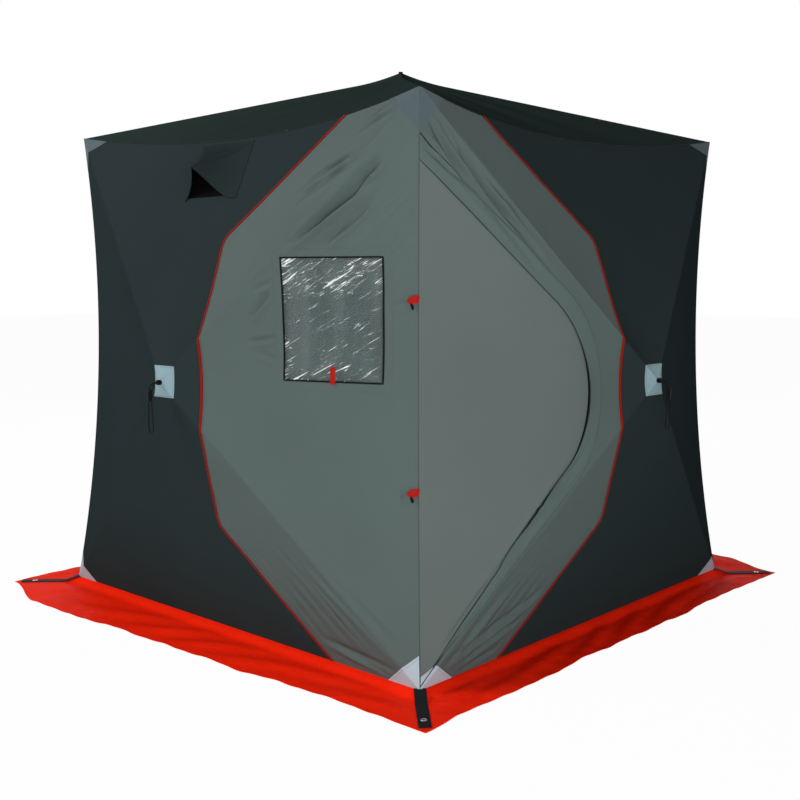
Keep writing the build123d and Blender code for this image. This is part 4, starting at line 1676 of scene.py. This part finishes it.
@dataclass
class Trims:
    """Sewn-on pieces that repeat on every wall: piping, patches, seams and their stitching."""

    walls: tuple[Wall, ...]
    finishes: Finishes
    lift: float = 0.0018
    thickness: float = 0.0012
    stitched: float = 0.91
    stitch_pitch: float = 0.0045
    piping_half: Place = (0.0040, 0.0032)
    piping_lift: float = 0.0008
    beside_piping: float = 0.0085
    seam_half: Place = (0.0016, 0.0016)

    def piping(self) -> None:
        """Red piping along the line between the panels, with a row of stitches on either side."""
        cord, thread = Surface(), Surface()
        path = LINE.path()
        for wall in self.walls:
            wall.strip(cord, path, oval(self.piping_half, 12), lift=self.piping_lift)
            for side in (-1, 1):
                wall.stitch(thread, path + np.array([side * self.beside_piping, 0.0]), ON_CLOTH)
        self.finishes.make(cord, "red_piping", "piping", Slot.TAPE, replaced=["panel_piping"])
        self.finishes.make(thread, "piping_stitching", "dark_thread", Slot.DARK)

    def patches(self, patch: Patch, seam: Surface) -> None:
        """Makes all the patches of one kind, as straight rays from their point to their outline.

        Args:
            patch: the kind.
            seam: where the stitches along their edges go.
        """
        surface = Surface()
        for wall in self.walls:
            outline = patch.outline if wall.windowed() else patch.plain or patch.outline
            for side in patch.sides:
                mirror = np.array([side, 1.0])
                rim, start = through(outline, patch.cells) * mirror, np.array(patch.centre) * mirror
                wall.cover(surface, fan(start, rim, 12), self.lift)
                wall.stitch(seam, start + (rim - start) * self.stitched, self.lift + ON_CLOTH,
                            self.stitch_pitch)
        cut = Cut(patch.flat, "left_dark_cloth", most=math.prod(patch.flat), thickness=self.thickness)
        piece = self.finishes.sheet(surface, patch.name, cut, patch.finish)
        settle(piece, Slot.SILVER, replaced=[patch.node])

    def seams(self) -> None:
        """Bound seams up the four corners and along the roof's four edges."""
        height = np.linspace(SHAPE.corner_height, SHAPE.foot, 121)
        reach = SHAPE.seam(height)
        corner, eave = stacked(-reach, -reach, height), SHAPE.eave_edge(120)
        section = oval(self.seam_half, 8)
        pale, dark = Surface(), Surface()
        for wall in self.walls:
            bound = pale if wall.grey < 0 else dark
            for surface, path, up in ((bound, corner, (-1, -1, 0)), (dark, eave, (0, -1, 1))):
                tube = swept(wall.turn(path), section, wall.turn(np.array(up, float)))
                surface.add(capped(tube), wrap=True)
        self.finishes.make(pale, "grey_corner_seams", "thread", Slot.GREY)
        self.finishes.make(dark, "dark_seams", "dark_thread", Slot.DARK)

    def build(self) -> None:
        """Makes the piping, the patches and the seams."""
        self.piping()
        seam = Surface()
        for patch in PATCHES:
            self.patches(patch, seam)
        self.finishes.make(seam, "patch_stitching", "thread", Slot.GREY)
        self.seams()


TIE_ROUTE = ((0.003, 0.0), (-0.004, 0.001), (-0.010, -0.002), (-0.016, -0.007), (-0.020, -0.013))
TOGGLE_LEAN = ((0.94, 0.0, 0.34), (0.0, 1.0, 0.0), (-0.34, 0.0, 0.94))


@dataclass
class DoorTies:
    """Red webbing ties on the near corner seam that hold the rolled-up door, with toggles."""

    wall: Wall
    finishes: Finishes
    heights: tuple[float, float] = (1.120, 0.573)
    tab_half: Place = (0.0115, 0.0013)
    tab_lift: float = 0.003
    tab_arch: float = 0.008
    toggle_at: Place = (-0.012, -0.019)
    toggle_lift: float = 0.009
    toggle_radius: float = 0.0042
    toggle_half: float = 0.011

    def build(self) -> None:
        """A short tab folded over on to the wall, arched by a sine, and a toggle at its end."""
        tabs, toggles = Surface(), Surface()
        toggle = barrel(self.toggle_radius, self.toggle_half, 0.6, 12, 16) @ np.array(TOGGLE_LEAN)
        run = np.linspace(0, 1, len(TIE_ROUTE))[:, None]
        lift = self.tab_lift + self.tab_arch * np.sin(run * 2.6)
        for height in self.heights:
            seam = np.array([SHAPE.seam(height), height])
            self.wall.strip(tabs, seam + np.array(TIE_ROUTE), oval(self.tab_half, 14, 0.5), lift=lift)
            at = self.wall.world(seam + np.array(self.toggle_at), self.toggle_lift)
            toggles.add(self.wall.turn(toggle) + at, wrap=True)
        make = self.finishes.make
        make(tabs, "door_ties", "red_tape", Slot.TAPE, replaced=["door_tie_tabs"])
        make(toggles, "door_toggles", "plastic", Slot.PLASTIC, replaced=["door_tie_toggles"])


@dataclass
class Roof:
    """The roof's cloth, drawn up to its hub."""

    walls: tuple[Wall, ...]
    finishes: Finishes
    cut: Cut = Cut((1.75, 1.75), "roof_poles", most=3.06, thickness=WALL_CLOTH)
    tip: float = 1.933
    crown: float = 0.018
    crown_share: float = 0.14
    ripple: float = 0.003

    def build(self) -> None:
        """Straight rays from the tip to the roof's edge, raised at the tip by a parabola, with a
        slow sine round it that fades at the tip, the edge and the corners."""
        eave = SHAPE.eave_edge(72)
        share = chain(np.linspace(0, self.crown_share, 11), np.linspace(self.crown_share, 1, 41))
        grid = fan((0.0, 0.0, self.tip), eave, share)
        grid[..., 2] += self.crown * np.clip(1 - share / self.crown_share, 0, 1) ** 2
        turn = np.linspace(-1, 1, len(eave))[:, None]
        free = (share * (1 - share) * 4)[None] * (1 - turn ** 2)
        grid[..., 2] += self.ripple * free * np.sin(turn * 14.0 + 5.0 * share[None])
        surface = Surface()
        for wall in self.walls:
            surface.add(wall.turn(grid), grid[..., :2], UP)
        piece = self.finishes.sheet(surface, "roof_cloth", self.cut, "roof", "lining")
        settle(piece, Slot.ROOF, replaced=["roof_panel"])


@dataclass
class Skirt:
    """The red ground skirt in four mitred sides, with its anchor straps and their grommets."""

    walls: tuple[Wall, ...]
    finishes: Finishes
    flat: tuple[float, float] = (2.14, 0.30)
    most: float = 0.64
    inner: float = 0.8895
    outer: float = 1.067
    fall: float = 0.046
    bottom: float = 0.0034
    spread: float = 0.110
    ripple: float = 0.009
    pleats: float = 0.0045
    strap: tuple[float, float] = (0.886, 1.047)
    strap_half: Place = (0.018, 0.0011)
    strap_lift: float = 0.0022
    eyelet: float = 1.012
    eyelet_radius: float = 0.0070
    rim_half: Place = (0.0022, 0.0009)
    rim_lift: float = 0.0034

    def height(self, reach: Number) -> Number:
        """Down from the wall's foot along a soft curve, then flat on the ice."""
        up = 1 - smooth(0.0, self.fall, reach - self.inner)
        return self.bottom + (SHAPE.foot - self.bottom) * up

    def side(self, wall: Wall) -> None:
        """One side of the skirt.

        Ripples along it, a sum of sines, grow towards its wavy outer edge and fade at its
        mitres; slanting pleats lift its middle; and on the window walls the edge is pulled out
        more and more towards the far mitre.

        Args:
            wall: the wall that it is sewn to.
        """
        share = np.linspace(0, 1, 25)[None]
        turn = np.linspace(-1, 1, 241)[:, None]
        far, inside = (1 - turn) / 2, 1 - np.abs(turn)
        phase = wall.quarter * 1.9
        pulled = self.spread * far * smooth(1.0, 0.86, far) * wall.windowed()
        reach = self.inner + (self.outer + pulled - self.inner) * share
        u = turn * (self.inner + (self.outer - self.inner) * share)
        loose = smooth(0.0, 0.16, inside) * smooth(0.3, 1.0, share)
        wave = (0.5 + 0.26 * np.sin(u * 11.0 + phase + 1.3 * np.sin(u * 4.0))
                + 0.14 * np.sin(u * 27.0 + 2 * phase + 3 * share) + 0.10 * np.sin(u * 61.0 - 4 * share))
        pleat = 1 + np.sin(u * 19.0 + 9.0 * share + phase + 2.0 * np.sin(u * 5.0))
        pleat = pleat * smooth(0.02, 0.18, inside) * np.sin(math.pi * share) ** 2
        z = self.height(reach) + self.ripple * loose * wave + self.pleats * pleat
        edge = 0.004 * np.sin(u * 9.0 + phase) + 0.0025 * np.sin(u * 23.0 + phase) - 0.003
        reach = reach + loose * share * edge
        surface = Surface().add(wall.turn(stacked(u, -reach, z)), stacked(u, reach), UP)
        cut = Cut(self.flat, f"{wall.name}_grey_cloth", "laid", self.most)
        piece = self.finishes.sheet(surface, f"{wall.name}_skirt_cloth", cut, "red")
        settle(piece, Slot.RED, replaced=[f"{wall.name}_skirt"])

    def straps(self) -> None:
        """Black webbing over the mitres, from the wall's foot to near the skirt's corner."""
        reach = np.linspace(*self.strap, 41)
        path = stacked(-reach, -reach, self.height(reach) + self.strap_lift)
        section = oval(self.strap_half, 20, 0.35)
        cloth = stacked(section[None, :, 0], (reach - reach[0])[:, None] * math.sqrt(2))
        cloth = np.concatenate([cloth[:1], cloth, cloth[-1:]])
        surface = Surface()
        for wall in self.walls:
            surface.add(capped(swept(wall.turn(path), section, UP)), cloth, wrap=True)
        self.finishes.make(surface, "anchor_straps", "black_tape", Slot.WEBBING,
                           replaced=["anchor_tabs"])

    def eyelets(self) -> None:
        """Rolled metal rims of the grommets on the straps: a ring's radius plus a flattened
        circle's cosine, turned about the grommet's middle."""
        angle = np.linspace(0, 2 * math.pi, 33)[:, None]
        section = oval(self.rim_half, 10)
        radius = self.eyelet_radius + section[None, :, 0]
        ring = stacked(radius * np.cos(angle), radius * np.sin(angle), section[None, :, 1])
        middle = np.array([-self.eyelet, -self.eyelet, self.height(self.eyelet) + self.rim_lift])
        surface = Surface()
        for wall in self.walls:
            surface.add(wall.turn(ring + middle), wrap=True)
        self.finishes.make(surface, "grommet_rims", "steel", Slot.GROMMET)

    def build(self) -> None:
        """Makes the four sides, the straps and the grommets' rims."""
        for wall in self.walls:
            self.side(wall)
        self.straps()
        self.eyelets()


ROUTE = ((4.5, 0, 0), (4.5, 9, 0), (6, 18, -4.5), (8, 24, -13), (9, 27, -26), (8, 28, -50),
         (8.5, 27.5, -88), (11.5, 26.6, -126), (11.8, 26.3, -147), (5.5, 26, -155), (-5, 26, -155.5),
         (-11.8, 26.2, -148), (-12, 26.8, -127), (-8.6, 27.6, -89), (-8, 28, -51), (-8.8, 27, -27),
         (-7.6, 24, -14), (-5.8, 18.2, -5), (-4.5, 9, 0), (-4.5, 0, 0))


@dataclass
class PullCords:
    """A looped cord at each wall's hub, for pulling the wall out, with a lock on it.

    The route is in millimetres across, out and up from the cord's start.
    """

    walls: tuple[Wall, ...]
    finishes: Finishes
    start: Point = (0.0, -1.128, SHAPE.hub_height)
    diameter: float = 0.0035
    length: float = 0.352
    lock_at: Point = (0.0, -0.0278, -0.038)
    lock_radius: float = 0.0062
    lock_half: float = 0.019
    lock_flat: float = 1.7

    def lock(self, wall: Wall) -> bpy.types.Object:
        """A cord lock that draws both strands together: a barrel, flattened."""
        shape = barrel(self.lock_radius, self.lock_half, 0.5, 16, 18)
        shape = shape * np.array([self.lock_flat, 1.0, 1.0])
        at = np.array(self.start) + np.array(self.lock_at)
        surface = Surface().add(wall.turn(shape + at), wrap=True)
        return self.finishes.make(surface, f"{wall.name}_cord_lock", "plastic", Slot.PLASTIC)

    def build(self) -> None:
        """One smooth curve for each wall, out of the bolt's end and back to it."""
        route = np.array(ROUTE, float) * np.array([1, -1, 1]) / 1000 + np.array(self.start)
        for wall in self.walls:
            points = wall.turn(route)
            data = bpy.data.curves.new(f"{wall.name}_cord", "CURVE")
            data.dimensions = "3D"
            data.bevel_depth, data.bevel_resolution, data.resolution_u = self.diameter / 2, 3, 8
            data.use_fill_caps = True
            spline = data.splines.new("NURBS")
            spline.points.add(len(points) - 1)
            weighted = np.concatenate([points, np.ones((len(points), 1))], axis=1)
            spline.points.foreach_set("co", weighted.ravel())
            spline.order_u = 3
            spline.use_endpoint_u = True
            piece = self.finishes.dress(placed(data.name, data), "cord")
            self.lock(wall)
            settle(piece, Slot.CORD, replaced=[f"{wall.name}_pull_cord"])


@dataclass
class CarriedOver:
    """CAD nodes whose shape is right, with better finishes."""

    walls: tuple[Wall, ...]
    finishes: Finishes

    def build(self) -> None:
        """Gives each node its finish."""
        kinds = {"roof_poles": "pole", "roof_hub": "plastic", "corner_sockets": "plastic",
                 "pole_feet": "plastic", "hub_bolts": "bolt", "anchor_grommets": "steel"}
        for wall in self.walls:
            kinds[f"{wall.name}_wall_poles"] = "pole"
            kinds[f"{wall.name}_wall_hub"] = "plastic"
        for node, finish in kinds.items():
            self.finishes.dress(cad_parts[node], finish)
            LOG.info("%s: %s", node, finish)


# ---- Studio


@dataclass(frozen=True)
class Lamp:
    """A square soft box that looks at the middle of the hut."""

    name: str
    at: Point
    size: float
    watts: float
    target: Point = (0.0, 0.0, 0.9)

    def build(self) -> None:
        """Adds the lamp."""
        data = bpy.data.lights.new(self.name, "AREA")
        data.size, data.energy = self.size, self.watts
        aimed(self.name, data, self.at, Vector(self.target) - Vector(self.at))


LAMPS = (
    Lamp("key_light", (-4.31, 2.49, 4.25), 1.8, 195.0),
    Lamp("front_light", (-4.24, -4.24, 0.60), 2.0, 205.0),
    Lamp("side_light", (-1.99, -5.47, 2.35), 1.6, 46.0),
    Lamp("top_light", (-1.60, -1.60, 6.00), 3.0, 18.0),
    Lamp("back_light", (4.40, 4.40, 2.60), 2.6, 170.0),
)
WHITE = (1.0, 1.0, 1.0, 1.0)


@dataclass(frozen=True)
class Studio:
    """The camera, plain soft light and a pale floor."""

    camera_at: Point = (-3.138, -2.876, 1.178)
    yaw: float = 47.46
    pitch: float = -6.29
    lens: float = 49.47
    sensor: float = 36.0
    floor_half: float = 30.0
    floor_level: float = -0.0005
    floor_tone: float = 0.82
    floor_glow: float = 0.975
    room_light: float = 0.08
    backdrop: float = 1.0

    def camera(self) -> None:
        """Places the camera where the photograph was taken from."""
        data = bpy.data.cameras.new("photo_camera")
        data.lens, data.sensor_width = self.lens, self.sensor
        yaw, pitch = math.radians(self.yaw), math.radians(self.pitch)
        level = math.cos(pitch)
        ahead = Vector((level * math.sin(yaw), level * math.cos(yaw), math.sin(pitch)))
        bpy.context.scene.camera = aimed("photo_camera", data, self.camera_at, ahead)

    def seen(self, shader: Shader) -> Value:
        """1 for rays that show the background: camera, mirror and see-through rays."""
        kinds = ("Is Camera Ray", "Is Glossy Ray", "Is Transmission Ray")
        rays = [shader.node("ShaderNodeLightPath", output=kind) for kind in kinds]
        return (rays[0] + rays[1] + rays[2]).math("MINIMUM", 1.0)

    def floor(self) -> None:
        """A pale floor that shows white but keeps the hut's shadow."""
        shader = Shader("pale_floor")
        tone = (self.floor_tone, self.floor_tone, self.floor_tone, 1.0)
        plain = shader.node("ShaderNodeBsdfDiffuse", inputs={"Color": tone})
        white = shader.node("ShaderNodeEmission", inputs={"Color": WHITE, "Strength": 1.0})
        share = self.seen(shader) * self.floor_glow
        both = shader.node("ShaderNodeMixShader", inputs={0: share, 1: plain, 2: white})
        shader.node("ShaderNodeOutputMaterial", inputs={"Surface": both})
        edge = np.linspace(-self.floor_half, self.floor_half, 9)
        grid = stacked(edge[:, None], edge[None], np.array(self.floor_level))
        floor = Surface().add(grid, facing=UP).piece("pale_floor")
        floor.data.materials.append(shader.owner)

    def world(self) -> None:
        """Even light from all round, seen as white."""
        shader = Shader("soft_room", world=True)
        dim, white = (shader.node("ShaderNodeBackground", inputs={"Color": WHITE, "Strength": strength})
                      for strength in (self.room_light, self.backdrop))
        both = shader.node("ShaderNodeMixShader", inputs={0: self.seen(shader), 1: dim, 2: white})
        shader.node("ShaderNodeOutputWorld", inputs={"Surface": both})
        bpy.context.scene.world = shader.owner

    def build(self) -> None:
        """Sets up everything but the hut."""
        bpy.context.scene.view_settings.view_transform = "Standard"
        self.camera()
        self.floor()
        self.world()
        for lamp in LAMPS:
            lamp.build()
        LOG.info("studio set up")


def folds(*rows: Sequence[float]) -> tuple[Fold, ...]:
    """Folds from rows of start, end, height and width, and a bow where they have one, in mm."""
    metres = ([part / 1000 for part in row] for row in rows)
    return tuple(Fold(tuple(row[:2]), tuple(row[2:4]), *row[4:]) for row in metres)


FRONT_FOLDS = folds(
    (-785, 1592, -674, 1439, -12.8, 9.5),
    (-753, 1610, -583, 1420, -19.2, 11.1),
    (-772, 1604, -703, 1510, -9.6, 7.7),
    (-725, 1563, -621, 1441, -12.8, 8.6),
    (-692, 1510, -560, 1364, -12.8, 8.6),
    (-646, 1452, -526, 1331, -9.6, 7.7),
    (-817, 1564, -743, 1497, -9.6, 7.7),
    (-815, 1542, -699, 1455, -9.6, 7.7),
    (-306, 628, -478, 462, -10, 10),
    (-478, 462, -589, 347, -9, 10),
    (-348, 521, -495, 410, -7, 10),
    (-393, 580, -649, 313, 6, 12),
    (-643, 295, -798, 135, -8, 9),
    (-570, 263, -758, 92, -9, 10),
    (-505, 387, -718, 195, 6, 12),
    (-494, 413, -417, 407, -5, 8),
    (-470, 488, -399, 490, -4, 8),
    (-403, 207, -766, 85, -10, 11),
    (-435, 184, -728, 82, -9, 10),
    (-486, 130, -713, 65, -8, 10),
    (-554, 63, -694, 35, -6, 9),
    (-765, 1548, -473, 1233, -6, 8),
    (-717, 1536, -400, 1201, -6, 8),
    (-800, 1605, -624, 1402, -6, 8),
)
LEFT_FOLDS = folds(
    (697, 1493, 436, 1285, -23.8, 13.8, 10),
    (683, 1444, 539, 1346, -17, 11.1),
    (666, 1521, 451, 1426, -13.6, 12),
    (617, 1537, 419, 1458, -13.6, 11.1),
    (620, 1345, 546, 1278, -10.2, 10.3),
    (751, 1650, 616, 1602, -9.6, 7.7),
    (777, 1624, 710, 1580, -9.6, 7.7),
    (714, 1678, 652, 1639, -9.6, 7.7),
    (378, 1169, 326, 1145, -6.3, 8.6),
    (369, 1133, 309, 1067, -9.6, 9.5),
    (381, 1003, 304, 989, -8.1, 8.6),
    (387, 937, 330, 959, -6.3, 8.6),
    (797, 1110, 739, 1101, -3, 10),
    (802, 573, 752, 546, -3, 10),
    (787, 59, 541, 89, -10, 11),
    (796, 35, 591, 75, -7, 9),
    (528, 304, 813, 85, 7, 12),
    (573, 328, 796, 151, -4, 10),
    (436, 1291, 244, 1126, 4, 14),
    (676, 1460, 523, 1324, -4, 7),
    (685, 1391, 588, 1300, -5, 8),
    (561, 1507, 424, 1410, -7, 9),
    (723, 1505, 661, 1453, -7, 8),
    (604, 1527, 505, 1488, -6, 8),
)
WALLS = (
    Wall("front", 0, -1, FRONT_FOLDS),
    Wall("right", 1, 1),
    Wall("back", 2, -1),
    Wall("left", 3, 1, LEFT_FOLDS),
)


def main() -> None:
    """Builds the hut piece by piece."""
    logging.basicConfig(level=logging.INFO, format="%(name)s %(message)s")
    Studio().build()
    finishes = Finishes()
    for wall in WALLS:
        panels = WallPanels(wall, finishes)
        panels.dark()
        panels.grey()
    windowed = tuple(wall for wall in WALLS if wall.windowed())
    DoorLeaf(WALLS[0], finishes).build()
    Windows(windowed, finishes).build()
    VentHoods(windowed, finishes).build()
    Trims(WALLS, finishes).build()
    DoorTies(WALLS[3], finishes).build()
    Roof(WALLS, finishes).build()
    Skirt(WALLS, finishes).build()
    PullCords(WALLS, finishes).build()
    CarriedOver(WALLS, finishes).build()


if __name__ == "__main__":
    main()
